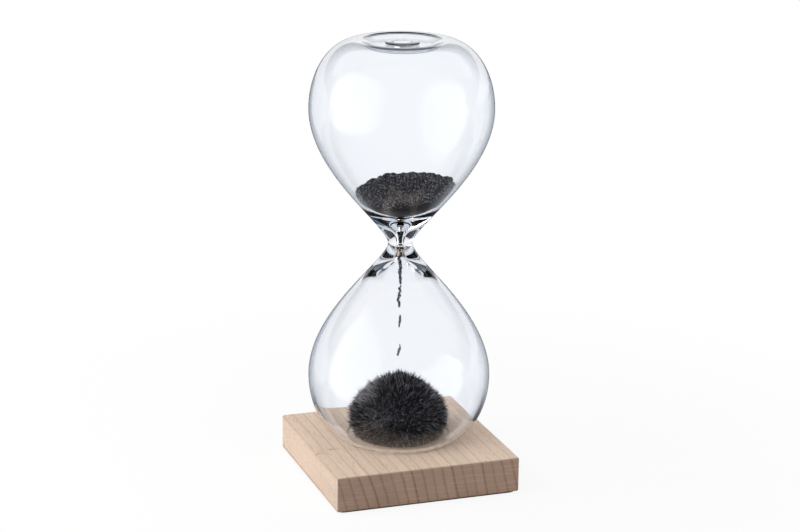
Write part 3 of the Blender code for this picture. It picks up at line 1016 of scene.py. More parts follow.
@dataclass
class GlassVessel:
    """The blown glass and the button that seals its filling hole. Heights are from the waist.

    Attributes:
        waist_z: Height of the waist.
        bulb_length: Waist to the ring that a bulb stands on.
        bulb_radius: A bulb's largest radius.
        bulb_widest: Waist to the widest place.
        shoulder_out: How far the flat end runs on before it turns.
        shoulder_up: How far the side runs on before it turns.
        cone_side: How far the side runs straight towards the waist.
        waist_side: How far the waist runs straight towards the bulb.
        waist_radius: The waist's outer radius.
        throat_radius: Its inner radius.
        throat_length: Waist to where the throat starts to open.
        throat_run: How far the throat runs on upwards.
        funnel_side: How far the inside runs straight down from the widest place.
        funnel_lean: Lean of the inside just above the shelf.
        funnel_run: How far it runs straight there.
        shelf_top: Radius and height where the glass starts to thicken, as a sloping shelf.
        shelf_bend: How far the inside bends on both sides of that place.
        shelf_foot: Radius and height where the shelf ends in the throat.
        shelf_run: How far the shelf's line runs on there.
        wall: Wall thickness of the bulbs.
        foot_radius: Radius of the standing ring.
        punt_depth: Depth of the hollow inside it.
        punt_bend: Share of the hollow's slope that runs flat at each end.
        flat_radius: Radius of the flat glass in the hollow.
        hole_radius: Radius of the filling hole.
        seal_radius: Radius of the button that closes it.
        seal_thickness: Thickness of the button's cap.
        gap: Space between touching pieces.
        around: Points round the axis.
        cone_steps: Points along the outside of a cone.
        bend_steps: Points along the bend over the shelf.
        hollow_steps: Points along the slope of an end's hollow.
        shoulder_steps: Points along a shoulder.
        floor_steps: Points of an end, from its middle, that the lower floor is read from.
    """

    waist_z: float
    bulb_length: float = 86.2 * MM
    bulb_radius: float = 38.4 * MM
    bulb_widest: float = 57.5 * MM
    shoulder_out: float = 13.0 * MM
    shoulder_up: float = 14.8 * MM
    cone_side: float = 26.0 * MM
    waist_side: float = 7.4 * MM
    waist_radius: float = 5.1 * MM
    throat_radius: float = 1.1 * MM
    throat_length: float = 1.5 * MM
    throat_run: float = 4.0 * MM
    funnel_side: float = 16.75 * MM
    funnel_lean: float = math.radians(41.0)
    funnel_run: float = 12.58 * MM
    shelf_top: tuple[float, float] = (14.25 * MM, 15.0 * MM)
    shelf_bend: float = 3.0 * MM
    shelf_foot: tuple[float, float] = (3.0 * MM, 8.6 * MM)
    shelf_run: float = 1.2 * MM
    wall: float = 1.3 * MM
    foot_radius: float = 17.5 * MM
    punt_depth: float = 2.0 * MM
    punt_bend: float = 0.45
    flat_radius: float = 11.0 * MM
    hole_radius: float = 4.6 * MM
    seal_radius: float = 7.1 * MM
    seal_thickness: float = 0.8 * MM
    gap: float = 0.3 * MM
    around: int = 160
    cone_steps: int = 64
    bend_steps: int = 14
    hollow_steps: int = 18
    shoulder_steps: int = 40
    floor_steps: int = 40

    def cone(self) -> Array:
        """The outside from a bulb's widest place to the waist, as one cubic curve with both ends.

        Returns:
            Points of radius and height.
        """
        radius, neck = self.bulb_radius, (self.waist_radius, 0.0)
        widest, turn = (radius, self.bulb_widest), (radius, self.bulb_widest - self.cone_side)
        side = cubic(widest, turn, (self.waist_radius, self.waist_side), neck, self.cone_steps)
        return np.concatenate([side, [neck]])

    def funnel(self, steps: int = 48) -> Array:
        """The inside from a bulb's widest place to the waist: curve, bend, shelf, curve and throat.

        Both curves and the bend are cubic, and the shelf below the bend is straight. Light from the front is
        mirrored in the shelf, because the glass thickens there as in a drawn neck.

        Args:
            steps: How many points each long curve has.

        Returns:
            Points of radius and height.
        """
        radius, top, foot = self.bulb_radius - self.wall, np.array(self.shelf_top), np.array(self.shelf_foot)
        lean = np.array([math.sin(self.funnel_lean), math.cos(self.funnel_lean)])
        slope = (foot - top) / np.linalg.norm(foot - top)
        above, beyond = top + self.funnel_run * lean, foot + self.shelf_run * slope
        handle, spacing = 0.4, 0.2 * MM
        bend = self.shelf_bend * np.array([lean, handle * lean, handle * slope, slope])
        throat = (self.throat_radius, self.throat_length)
        widest, turn = (radius, self.bulb_widest), (radius, self.bulb_widest - self.funnel_side)
        upper = cubic(widest, turn, above, top, steps)
        lower = cubic(foot, beyond, (self.throat_radius, self.throat_length + self.throat_run), throat, steps)
        corner = cubic(*(top + bend), self.bend_steps)
        upper = upper[upper[:, 1] > corner[0, 1] + spacing]
        return np.concatenate([upper, corner, [top + bend[-1]], lower, [throat, (self.throat_radius, 0.0)]])

    def end(self) -> Array:
        """A bulb's end from the flat glass in its hollow to the widest place, as two cubic curves.

        Returns:
            Points of radius and height, without the widest place.
        """
        floor = self.bulb_length - self.punt_depth
        bend = self.punt_bend * (self.foot_radius - self.flat_radius)
        flat, foot = (self.flat_radius, floor), (self.foot_radius, self.bulb_length)
        hollow = cubic(flat, (flat[0] + bend, floor), (foot[0] - bend, self.bulb_length), foot, self.hollow_steps)
        start = (foot[0] + self.shoulder_out, self.bulb_length)
        widest = (self.bulb_radius, self.bulb_widest)
        shoulder = cubic(foot, start, (widest[0], widest[1] + self.shoulder_up), widest, self.shoulder_steps)
        return np.concatenate([hollow, shoulder])

    def half(self, start_radius: float) -> tuple[Array, Array]:
        """The outer and the inner line of one bulb, from its end to the waist.

        Args:
            start_radius: Where the end starts: the axis, or the filling hole's edge.

        Returns:
            The outer and the inner points.
        """
        floor = self.bulb_length - self.punt_depth
        end = self.end()
        inner_end = offset_inward(np.concatenate([end, [[self.bulb_radius, self.bulb_widest]]]), self.wall)[:-1]
        outer = np.concatenate([[[start_radius, floor]], end, self.cone()])
        inner = np.concatenate([[[start_radius, floor - self.wall]], inner_end, self.funnel()])
        return outer, inner

    def funnel_radius(self, heights: Array) -> Array:
        """The inner radius at heights above or below the waist."""
        line = self.funnel(300)[::-1]
        return np.interp(np.abs(heights), line[:, 1], line[:, 0])

    def floor_height(self, radii: Array) -> Array:
        """Height over the table of the lower bulb's inner floor at radii inside the shoulder."""
        line = offset_inward(self.end(), self.wall)[: self.floor_steps]
        return self.waist_z - np.interp(radii, line[:, 0], line[:, 1])

    def vessel(self, finish: Material) -> Piece:
        """Both bulbs and the waist: up the outside from the lower pole, through the hole and down the inside.

        Args:
            finish: The glass.

        Returns:
            The vessel.
        """
        upper_out, upper_in = self.half(self.hole_radius)
        lower_out, lower_in = self.half(0.0)
        mirror = np.array([1.0, -1.0])
        outside = np.concatenate([lower_out * mirror, upper_out[-2::-1]])
        inside = np.concatenate([upper_in, (lower_in * mirror)[-2::-1]])
        outline = np.concatenate([outside, inside]) + [0.0, self.waist_z]
        surface = turned(outline, self.around)
        sharp = math.radians(50.0)
        return make_piece("blown_glass", surface, finish, Body.GLASS, ["glass_vessel"], sharp)

    def seal(self, finish: Material) -> Piece:
        """The button: a stem in the hole, and a flat cap with a melted, round rim.

        Args:
            finish: The glass.

        Returns:
            The button.
        """
        chamfer, inner_ring = 0.2 * MM, 3.0 * MM
        low = self.bulb_length - self.punt_depth + self.gap
        stem = self.hole_radius - self.gap
        radius, half = self.seal_radius, self.seal_thickness / 2
        turn = np.linspace(-math.pi / 2, math.pi / 2, 13)
        rim = np.stack([radius - half + half * np.cos(turn), low + half + half * np.sin(turn)], axis=1)
        foot = low - self.gap - self.wall
        start = [[0.0, foot], [stem - chamfer, foot], [stem, foot + chamfer], [stem, low]]
        outline = np.concatenate([start, rim, [[inner_ring, rim[-1, 1]], [0.0, rim[-1, 1]]]])
        surface = turned(outline + [0.0, self.waist_z], self.around)
        sharp = math.radians(50.0)
        return make_piece("glass_button", surface, finish, Body.GLASS, ["fill_seal"], sharp)

    def build(self, finish: Material) -> None:
        """Builds both pieces. Light reaches what is inside them unchanged.

        Args:
            finish: The glass.
        """
        for made in (self.vessel(finish), self.seal(finish)):
            made.visible_shadow = False
            made.visible_diffuse = False


@dataclass
class UpperPile:
    """The filings left in the upper bulb. Heights are from the waist.

    Attributes:
        glass: The glass that holds them.
        height: Height of the rim's middle.
        tilt: Slope of the top.
        low_side: Direction in which it falls.
        crater_depth: Depth of the hollow over the throat.
        crater_radius: Its radius.
        tip: Height of the lowest grains.
        gap: Air between the grains and the glass.
        draw_in: Share by which the side draws in from the glass towards its foot, as grains hang together.
        draw_start: Height where it starts to draw in.
        draw_end: Height where it is drawn in fully.
        grain: Half a grain's mean size.
        bumps: How bumpy the rim is.
        rim_layers: Weights, sizes and seeds of its bumps.
        clods: The same for the clods and grains of the top, with weights in millimetres.
        rust_share: Most rust, in the crater.
        rust_reach: Radius of the rusty place.
        rust_front: How far it lies to the front of the throat.
        loose: How many loose grains lie on top.
        pale: Share of them with a pale tone: painted glints.
        stray: How many cling to the glass above the rim.
        around: Points round the mass.
        side_rings: Rings up its side.
        top_rings: Rings over its top.
    """

    glass: GlassVessel
    height: float = 23.0 * MM
    tilt: float = math.radians(7.5)
    low_side: float = math.radians(197.0)
    crater_depth: float = 3.2 * MM
    crater_radius: float = 9.0 * MM
    tip: float = 1.0 * MM
    gap: float = 0.16 * MM
    draw_in: float = 0.24
    draw_start: float = 19.5 * MM
    draw_end: float = 13.5 * MM
    grain: float = 0.30 * MM
    bumps: float = 0.55 * MM
    rim_layers: tuple[Layer, ...] = ((1.0, 3.4 * MM, 15), (0.7, 1.3 * MM, 17))
    clods: tuple[Layer, ...] = ((0.55, 6.0 * MM, 3), (0.35, 2.2 * MM, 5), (0.22, 0.8 * MM, 7))
    rust_share: float = 0.18
    rust_reach: float = 10.0 * MM
    rust_front: float = 3.0 * MM
    loose: int = 9500
    pale: float = 0.30
    stray: int = 26
    around: int = 240
    side_rings: int = 45
    top_rings: int = 58

    def rim(self, angles: Array) -> tuple[float, Array]:
        """The rim: a circle on the sloping plane, h - r tan(tilt) cos(a - low side), with bumps of two sizes.

        Args:
            angles: Directions.

        Returns:
            The rim's radius, and its height in each direction.
        """
        radius = float(self.glass.funnel_radius(np.array([self.height]))[0])
        bumps = layered_noise(round_points(radius, angles, 0.0), self.rim_layers)
        plane = self.height - radius * math.tan(self.tilt) * np.cos(angles - self.low_side)
        return radius, plane + self.bumps * bumps.reshape(np.shape(angles))

    def top_height(self, share: Array, angles: Array) -> Array:
        """Height of the top at a share of the rim's radius: the sloping plane, less a bell-shaped crater.

        The crater is depth times e^-(r / R)^2. Clods and grains are noise of three sizes, less towards the rim.

        Args:
            share: Radius as a share of the rim's radius there.
            angles: Directions.

        Returns:
            Heights from the waist.
        """
        radius, rim = self.rim(angles)
        reach = share * radius
        plane = self.height + (rim - self.height) * share
        crater = self.crater_depth * np.exp(-((reach / self.crater_radius) ** 2))
        clods = layered_noise(round_points(reach, angles, 0.0), self.clods).reshape(np.shape(reach))
        return plane - crater + MM * clods * np.sqrt(np.clip(1.02 - share**6, 0.0, 1.0))

    def mass(self) -> Surface:
        """The solid mass: up along the glass to the rim, and inwards over the top to the crater's middle.

        Towards its foot the side draws in from the glass: its radius is the funnel's times 1 - d (3 t^2 - 2 t^3),
        where t runs from 0 at the start of the drawing in to 1 at its end.

        Returns:
            The mass with its tone and rust.
        """
        angles = full_turn(self.around)
        _, rim = self.rim(angles)
        rise = np.linspace(0.0, 1.0, self.side_rings + 1)[1:, None] ** 1.3
        side_height = self.tip + (rim - self.tip) * rise
        low = np.clip((self.draw_start - side_height) / (self.draw_start - self.draw_end), 0.0, 1.0)
        drawn = 1.0 - self.draw_in * eased(low)
        side_radius = (self.glass.funnel_radius(side_height) - self.gap) * drawn
        share = np.linspace(1.0, 0.0, self.top_rings + 2)[1:-1, None]
        top_height = self.top_height(share + 0.0 * angles, angles + 0.0 * share)
        top_radius = share * side_radius[-1]
        radii = np.concatenate([side_radius, top_radius])
        rings = round_points(radii, angles, np.concatenate([side_height, top_height]))
        points = with_poles(self.tip, rings, self.top_height(np.zeros(1), np.zeros(1))[0])
        tone = np.clip(0.04 + 0.04 * lattice_noise(points, 0.9 * MM, 11), 0.0, 1.0)
        paint = {Paint.TONE: tone, Paint.RUST: self.rust(points)}
        return Surface(points, ring_faces(len(radii), self.around), paint)

    def rust(self, points: Array) -> Array:
        """Brown in the crater and low on the side, in patches: most rust times e^-(r / R)^2, thinned by noise.

        Args:
            points: Places from the waist.

        Returns:
            Shares of rust.
        """
        away = np.hypot(points[:, 0], points[:, 1] + self.rust_front)
        patches = 0.5 + 0.5 * lattice_noise(points, 3.0 * MM, 13)
        bell = self.rust_share * np.exp(-((away / self.rust_reach) ** 2))
        return np.clip(bell * (0.35 + 0.65 * patches), 0.0, 1.0)

    def loose_grains(self, rng: np.random.Generator) -> Surface:
        """Grains strewn evenly over the top, and a few that cling to the glass above it.

        Args:
            rng: Source of the random numbers.

        Returns:
            The grains with their tone and rust.
        """
        share = np.sqrt(rng.uniform(0.0, 0.985, self.loose))
        angles = rng.uniform(0.0, math.tau, self.loose)
        radius, _ = self.rim(angles)
        heights = self.top_height(share, angles) + rng.uniform(-0.10, 0.28, self.loose) * MM
        reach = np.minimum(share * radius, self.glass.funnel_radius(heights) - self.gap - self.grain)
        places = round_points(reach, angles, heights)
        cling_angles = rng.uniform(0.0, math.tau, self.stray)
        _, cling_rim = self.rim(cling_angles)
        cling = cling_rim + rng.uniform(0.4, 7.0, self.stray) * MM
        wall = self.glass.funnel_radius(cling) - 0.7 * self.grain
        centres = np.concatenate([places, round_points(wall, cling_angles, cling)])
        count = self.loose + self.stray
        size = self.grain * rng.uniform(0.6, 1.4, count)
        size[self.loose :] *= 0.5
        ways = unit(rng.normal(size=(count, 3)))
        made = grains(centres, size * 1.25, size * 0.8, ways, rng)
        # Painted glints: a share of the grains gets a pale tone; the rest stay dark.
        pale = rng.uniform(0.0, 1.0, count) < self.pale
        tones = np.where(pale, rng.uniform(0.26, 0.82, count), rng.uniform(0.0, 0.05, count))
        rust = self.rust(centres) * rng.uniform(0.3, 1.0, count)
        made.paint = {Paint.TONE: np.repeat(tones, GRAIN_POINTS), Paint.RUST: np.repeat(rust, GRAIN_POINTS)}
        return made

    def build(self, finish: Material) -> None:
        """Builds the pile as one piece.

        Args:
            finish: The iron.
        """
        surface = self.mass().joined(self.loose_grains(np.random.default_rng(21)))
        surface.points[:, 2] += self.glass.waist_z
        make_piece("upper_pile", surface, finish, Body.GLASS, ["upper_filings"], math.radians(30.0))


@dataclass(frozen=True)
class Clump:
    """A cluster of falling filings.

    Attributes:
        name: The piece's name.
        solid: The solid that it stands for.
        low: Height of its lowest grain, from the waist.
        high: Height of its highest grain.
        width: Half its width.
        count: How many grains it has.
        seed: Source of its random numbers.
    """

    name: str
    solid: str
    low: float
    high: float
    width: float
    count: int
    seed: int


@dataclass
class Stream:
    """The filings in the throat and on their way down.

    Attributes:
        glass: The glass round them.
        throat: The clump in the throat.
        falling: The thread and the clumps below it.
        sway: How far a clump's line wanders sideways.
        clearance: Space that the grains' middles keep from the glass.
        wander: Length of the line's turns.
    """

    glass: GlassVessel
    throat: Clump = Clump("throat_grains", "throat_filings", -0.3 * MM, 0.3 * MM, 0.85 * MM, 110, 31)
    falling: tuple[Clump, ...] = (
        Clump("thread_top", "falling_filings_1", -16.3 * MM, -1.9 * MM, 0.68 * MM, 260, 40),
        Clump("thread_end", "falling_filings_2", -28.4 * MM, -17.0 * MM, 0.62 * MM, 170, 41),
        Clump("clump_middle", "falling_filings_3", -37.0 * MM, -31.7 * MM, 0.45 * MM, 66, 42),
        Clump("clump_low", "falling_filings_4", -49.6 * MM, -44.9 * MM, 0.45 * MM, 60, 43),
    )
    sway: float = 0.50 * MM
    clearance: float = 0.35 * MM
    wander: float = 1.9 * MM

    def cluster(self, clump: Clump) -> Surface:
        """Slim grains along a line that wanders with noise, thin at both ends and thick between.

        At a share s of the way up, the width is the clump's width times (4 s (1 - s) + 0.02)^0.4.

        Args:
            clump: Which clump.

        Returns:
            The grains with their tone and rust.
        """
        rng = np.random.default_rng(clump.seed)
        share = np.sort(rng.uniform(0.0, 1.0, clump.count))
        heights = clump.low + (clump.high - clump.low) * share
        on_axis = np.stack([0.0 * heights, 0.0 * heights, heights], axis=1)
        width = clump.width * (4.0 * share * (1.0 - share) + 0.02) ** 0.4
        inner = self.glass.funnel_radius(heights) - self.clearance
        width = np.minimum(width, inner)
        turn, reach = rng.uniform(0.0, math.tau, clump.count), np.sqrt(rng.uniform(0.0, 1.0, clump.count))
        sway = np.minimum(self.sway, np.maximum(inner - width, 0.0))
        x = sway * lattice_noise(on_axis, self.wander, clump.seed) + width * reach * np.cos(turn)
        y = sway * lattice_noise(on_axis, self.wander, clump.seed + 50) + width * reach * np.sin(turn)
        lean = unit(rng.normal(0.0, 0.33, (clump.count, 3)) + [0.0, 0.0, 1.0])
        size = rng.uniform(0.16, 0.30, clump.count) * MM
        made = grains(np.stack([x, y, heights], axis=1), size * 2.3, size, lean, rng)
        made.paint[Paint.TONE] = np.repeat(rng.uniform(0.03, 0.45, clump.count), GRAIN_POINTS)
        made.paint[Paint.RUST] = np.repeat(0.35 * rng.uniform(0.0, 1.0, clump.count) ** 2, GRAIN_POINTS)
        made.points[:, 2] += self.glass.waist_z
        return made

    def build(self, finish: Material) -> None:
        """Builds every clump.

        Args:
            finish: The iron.
        """
        sharp = math.radians(30.0)
        for clump in (self.throat, *self.falling):
            body = Body.THROAT if clump is self.throat else Body.STREAM
            make_piece(clump.name, self.cluster(clump), finish, body, [clump.solid], sharp)


@dataclass
class SpikyHeap:
    """The heap over the magnet: a dark core under thousands of needles that follow the field.

    Attributes:
        glass: The glass that it lies in.
        floor: Height of the flat glass under it.
        top: Height of the highest needles.
        widest: Height of its widest place.
        radius: Radius there, needles included.
        foot_radius: Radius of the core at its foot, in the glass's channel.
        needle: Mean needle length.
        needle_width: Half a strong needle's width at its foot.
        strong: Share of the needles that are strong.
        bright: Share of the strong needles that get a pale tone: a painted highlight.
        count: How many needles there are.
        source: Height of the spot that needles point away from.
        tuft: How much neighbours lean together.
        scatter: How much each leans by itself.
        gap: Air over the glass.
        around: Points round the core.
        under_rings: Rings on its underside.
        side_rings: Rings up its side.
    """

    glass: GlassVessel
    floor: float
    top: float = 45.6 * MM
    widest: float = 26.0 * MM
    radius: float = 22.0 * MM
    foot_radius: float = 18.2 * MM
    needle: float = 2.5 * MM
    needle_width: float = 0.23 * MM
    strong: float = 0.24
    bright: float = 0.62
    count: int = 16400
    source: float = 21.5 * MM
    tuft: float = 0.24
    scatter: float = 0.21
    gap: float = 0.2 * MM
    around: int = 140
    under_rings: int = 7
    side_rings: int = 45

    def core_radius(self, heights: Array) -> Array:
        """The core's radius at a height.

        Above the widest place it is R (1 - t^1.7)^0.85, where t runs from 0 there to 1 at the top. Below it, R
        changes with the square of the way down to the foot's radius.

        Args:
            heights: Heights over the table.

        Returns:
            Radii.
        """
        reach, peak = self.radius - self.needle, self.top - self.needle
        t = np.clip((heights - self.widest) / (peak - self.widest), 0.0, 1.0)
        down = np.clip((self.widest - heights) / (self.widest - self.foot()), 0.0, 1.0)
        return reach * (1.0 - t**1.7) ** 0.85 + (self.foot_radius - reach) * down**2

    def foot(self) -> float:
        """Height of the core's lowest edge, in the channel of the glass."""
        return float(self.glass.floor_height(np.array([self.foot_radius]))[0]) + self.gap

    def core(self) -> Surface:
        """The core: the underside, then rings up the side to the top, all a little uneven.

        Side ring i stands at the share sin(i / n 90 degrees) of the height. Radii swell by 3% of smooth noise.

        Returns:
            The core with its tone and rust.
        """
        peak = self.top - self.needle
        share = np.sin(np.linspace(0.0, math.pi / 2, self.side_rings + 1))[:-1]
        under = np.linspace(0.0, self.foot_radius, self.under_rings + 2)[1:-1]
        side = self.foot() + (peak - self.foot()) * share
        heights = np.concatenate([self.glass.floor_height(under) + self.gap, side])
        radii = np.concatenate([under, self.core_radius(side)])
        rings = round_points(radii[:, None], full_turn(self.around), heights[:, None])
        points = with_poles(self.floor, rings, peak)
        swell = 1.0 + 0.03 * lattice_noise(points, 3.0 * MM, 61)
        points[:, :2] *= swell[:, None]
        paint = {Paint.TONE: np.full(len(points), 0.02), Paint.RUST: np.full(len(points), 0.03)}
        return Surface(points, ring_faces(len(radii), self.around), paint)

    def spikes(self) -> Surface:
        """Needles spread over the core on a golden-angle spiral by area, in tufts that lean together.

        Needle k stands at the height where the core's area below is the share (k + 0.5) / n of the whole, turned
        by k times 137.5 degrees. It points away from the source, plus noise that neighbours share, plus its own
        scatter.

        Returns:
            The needles with their tone and rust.
        """
        rng = np.random.default_rng(71)
        fine = np.linspace(self.foot() + 0.2 * MM, self.top - self.needle - 0.005 * MM, 800)
        line = np.stack([self.core_radius(fine), fine], axis=1)
        band = np.linalg.norm(np.diff(line, axis=0), axis=1) * (line[1:, 0] + line[:-1, 0]) / 2
        area = np.concatenate([[0.0], np.cumsum(band)])
        order = (np.arange(self.count) + 0.5) / self.count
        heights = np.interp(order * area[-1], area, fine)
        angles = np.arange(self.count) * math.pi * (3.0 - math.sqrt(5.0)) + rng.normal(0.0, 0.02, self.count)
        radii = self.core_radius(heights) - 0.4 * MM
        bases = round_points(radii, angles, heights)
        ways = unit(bases - [0.0, 0.0, self.source])
        tuft = np.stack([lattice_noise(bases, 2.6 * MM, 81 + axis) for axis in range(3)], axis=1)
        ways = unit(ways + self.tuft * tuft + rng.normal(0.0, self.scatter, (self.count, 3)))
        low = np.clip((heights - self.floor) / (5.0 * MM), 0.0, 1.0)
        strong = rng.uniform(0.0, 1.0, self.count) < self.strong
        tall, short = rng.uniform(0.85, 1.55, self.count), rng.uniform(0.45, 0.85, self.count)
        lengths = self.needle * np.where(strong, tall, short)
        lengths *= (0.60 + 0.40 * low) * (1.0 + 0.36 * lattice_noise(bases, 1.9 * MM, 91))
        bends = rng.normal(0.0, 0.22, (self.count, 3)) * MM
        tips = bases + lengths[:, None] * ways + bends
        room = tips[:, 2] - self.glass.floor_height(np.hypot(tips[:, 0], tips[:, 1])) - self.gap
        bends[:, 2] += np.maximum(-room, 0.0)
        widths = self.needle_width * np.where(strong, 1.0, 0.5) * rng.uniform(0.75, 1.2, self.count)
        made = needles(bases, ways, lengths, widths, bends)
        each = len(made.points) // self.count
        # Painted highlights: lit needles get a pale tone that grows towards the tip; the rest stay dark.
        lit = strong & (rng.uniform(0.0, 1.0, self.count) < self.bright)
        tone = np.where(lit, rng.uniform(0.35, 1.15, self.count), rng.uniform(0.0, 0.02, self.count))
        made.paint[Paint.TONE] = np.clip((made.paint[Paint.TONE] + 0.30) * np.repeat(tone, each), 0.0, 1.0)
        rusty = 0.04 + 0.25 * (1.0 - low) ** 1.5
        made.paint[Paint.RUST] = np.repeat(rusty * rng.uniform(0.0, 1.0, self.count) ** 2, each)
        return made

    def build(self, finish: Material) -> None:
        """Builds the heap as one piece.

        Args:
            finish: The iron.
        """
        surface = self.core().joined(self.spikes())
        make_piece("spiky_heap", surface, finish, Body.GLASS, ["filings_heap"], math.radians(50.0))


# Studio and camera


@dataclass(frozen=True)
class SoftBox:
    """A bright panel of the studio, seen only where the object mirrors it.

    Attributes:
        azimuth: Its direction round the object; 0 is the front and 90 the right, in degrees.
        elevation: Its direction over the horizon, in degrees.
        half_width: Half its width, in degrees.
        half_height: Half its height, in degrees.
        level: How bright it is.
        squareness: Exponent of its outline: 2 is an ellipse, 8 almost a rectangle.
        soft: Share of its size over which its edge fades, inwards and outwards.
    """

    azimuth: float
    elevation: float
    half_width: float
    half_height: float
    level: float
    squareness: float
    soft: float

    def level_way(self) -> tuple[float, float, float]:
        """The level direction towards it."""
        a = math.radians(self.azimuth)
        return math.sin(a), -math.cos(a), 0.0

    def axes(self) -> tuple[Vector, Vector, Vector]:
        """The box's own axes: its middle at its azimuth and elevation, a level right, and a top square to both.

        Returns:
            The directions to its middle, to its right and to its top.
        """
        a, e = math.radians(self.azimuth), math.radians(self.elevation)
        middle = Vector((math.sin(a) * math.cos(e), -math.cos(a) * math.cos(e), math.sin(e)))
        right = Vector((math.cos(a), math.sin(a), 0.0))
        return middle, right, right.cross(-middle)


@dataclass(frozen=True)
class Lamp:
    """A large, soft area lamp that shows in no mirror.

    Attributes:
        name: The lamp's name.
        place: Where it stands.
        size: Its side.
        power: Its power in watts.
    """

    name: str
    place: tuple[float, float, float]
    size: float
    power: float

    def make(self, target: Vector) -> None:
        """Makes the lamp and turns it to the object.

        Args:
            target: What it lights.
        """
        data = bpy.data.lights.new(self.name, "AREA")
        data.size, data.energy = self.size, self.power
        made = bpy.data.objects.new(self.name, data)
        made.location = self.place
        made.rotation_euler = (target - made.location).to_track_quat("-Z", "Y").to_euler()
        made.visible_camera = made.visible_glossy = made.visible_transmission = False
        bpy.context.scene.collection.objects.link(made)


@dataclass
class Studio:
    """A white floor and backdrop, soft lamps, and the panels that the glass mirrors.

    Attributes:
        fill: Light from all round, as a level.
        walls: What a mirror shows round the horizon and below it.
        ceiling: What it shows high up in front.
        boxes: The soft boxes.
        lamps: The lamps.
        lamp_target: What they point at.
        floor_half: Half the floor's side.
        floor_colour: The floor's colour.
        floor_mirrored: Its colour in mirrors near the object, except on the paper behind it.
        floor_far: Its colour in mirrors well in front of it.
        far_range: Distances in front of the object between which that colour comes in.
        paper_start: How far behind the object the paper starts that the glass shows at its edges.
        paper_fade: Shares of that distance between which it comes in.
        paper_shade: Its colour there.
        table_left: How far the table reaches to the left in mirrors, which show the left soft box beyond its end.
        table_fade: Shares of that distance between which it ends.
        floor_white: Share of the floor's own white near the object, which leaves the rest to light and shadow.
        floor_reach: Distance from the object at which the floor is all white.
        floor_fade: Share of that distance at which it starts to whiten.
    """

    fill: float = 0.40
    walls: Colour = (0.10, 0.11, 0.13)
    ceiling: Colour = (0.50, 0.62, 0.84)
    boxes: tuple[SoftBox, ...] = (
        SoftBox(-82.0, 11.0, 36.0, 34.0, 5.40, 3.0, 0.28),
        SoftBox(38.0, 6.0, 9.0, 20.0, 1.40, 2.0, 0.90),
        SoftBox(160.8, 58.0, 60.0, 21.0, 0.90, 8.0, 0.05),
        SoftBox(160.8, -10.0, 75.0, 25.0, 0.90, 8.0, 0.05),
    )
    lamps: tuple[Lamp, ...] = (
        Lamp("key_left", (-0.46, 0.04, 0.36), 0.4, 1.85),
        Lamp("top_soft", (-0.15, 0.05, 1.25), 1.0, 4.5),
        Lamp("front_fill", (0.60, -1.20, 0.55), 0.8, 1.6),
    )
    lamp_target: tuple[float, float, float] = (0.0, 0.0, 0.07)
    floor_half: float = 3.0
    floor_colour: Colour = (0.88, 0.88, 0.88)
    floor_mirrored: Colour = (0.12, 0.12, 0.13)
    floor_far: Colour = (0.16, 0.26, 0.42)
    far_range: tuple[float, float] = (0.30, 0.60)
    paper_start: float = 0.105
    paper_fade: tuple[float, float] = (0.3, 0.9)
    paper_shade: Colour = (0.74, 0.78, 0.84)
    table_left: float = 0.125
    table_fade: tuple[float, float] = (0.92, 1.08)
    floor_white: float = 0.88
    floor_reach: float = 0.30
    floor_fade: float = 0.2

    def seen(self, patch: NodePatch, path: Node) -> Socket:
        """1 for rays that show something: from the camera, through glass or off a mirror."""
        rays = [path.outputs[name] for name in ("Is Camera Ray", "Is Glossy Ray", "Is Transmission Ray")]
        return patch.math("MAXIMUM", patch.math("MAXIMUM", rays[0], rays[1]), rays[2])

    def mirrored(self, patch: NodePatch, path: Node) -> Socket:
        """1 for rays that were mirrored at least once, in or on the glass or off the iron."""
        return patch.math("MINIMUM", path.outputs["Glossy Depth"], 1.0)

    def panel(self, patch: NodePatch, way: Socket, box: SoftBox) -> Socket:
        """How much of a soft box lies in a direction.

        The direction is projected onto a plane square to the box's middle. Its right and upward parts over its
        forward part are u and v, as shares of the tangents of the half width and the half height; the edge is
        where u^p + v^p is 1.

        Args:
            patch: The world's node tree.
            way: The direction.
            box: The soft box.

        Returns:
            A share from 0 to 1.
        """
        parts = [patch.reach(way, axis) for axis in box.axes()]
        ahead = patch.math("MAXIMUM", parts[0], 0.001)
        total: object = 0.0
        for part, half in zip(parts[1:], (box.half_width, box.half_height)):
            reach = patch.math("MULTIPLY", ahead, math.tan(math.radians(half)))
            aside = patch.math("DIVIDE", patch.math("ABSOLUTE", part), reach)
            total = patch.math("ADD", total, patch.math("POWER", aside, box.squareness))
        away = patch.math("POWER", total, 1.0 / box.squareness)
        inside = patch.span(away, 1.0 - box.soft, 1.0 + box.soft, 1.0, 0.0)
        return patch.math("MULTIPLY", inside, patch.math("GREATER_THAN", parts[0], 0.0))

    def light_world(self) -> None:
        """White where the camera looks or sees through glass, the studio in mirrors, plain fill otherwise."""
        world = bpy.data.worlds.new("studio")
        bpy.context.scene.world = world
        world.use_nodes = True
        patch = NodePatch(world.node_tree)
        path = patch.add("LightPath")
        way = patch.add("TexCoord").outputs["Generated"]
        parts = patch.add("SeparateXYZ", {0: way}).outputs
        above, in_front = patch.span(parts["Z"], 0.0, 0.55), patch.span(parts["Y"], -0.1, 0.3, 1.0, 0.0)
        high = patch.math("MULTIPLY", above, in_front)
        room: object = patch.mix(high, self.walls, self.ceiling)
        for box in self.boxes:
            room = patch.mix(self.panel(patch, way, box), room, (box.level,) * 3)
        shown = patch.mix(self.mirrored(patch, path), (1.0, 1.0, 1.0), room)
        colour = patch.mix(self.seen(patch, path), (self.fill,) * 3, shown)
        patch.feed(world.node_tree.nodes["Background"], "Color", colour)

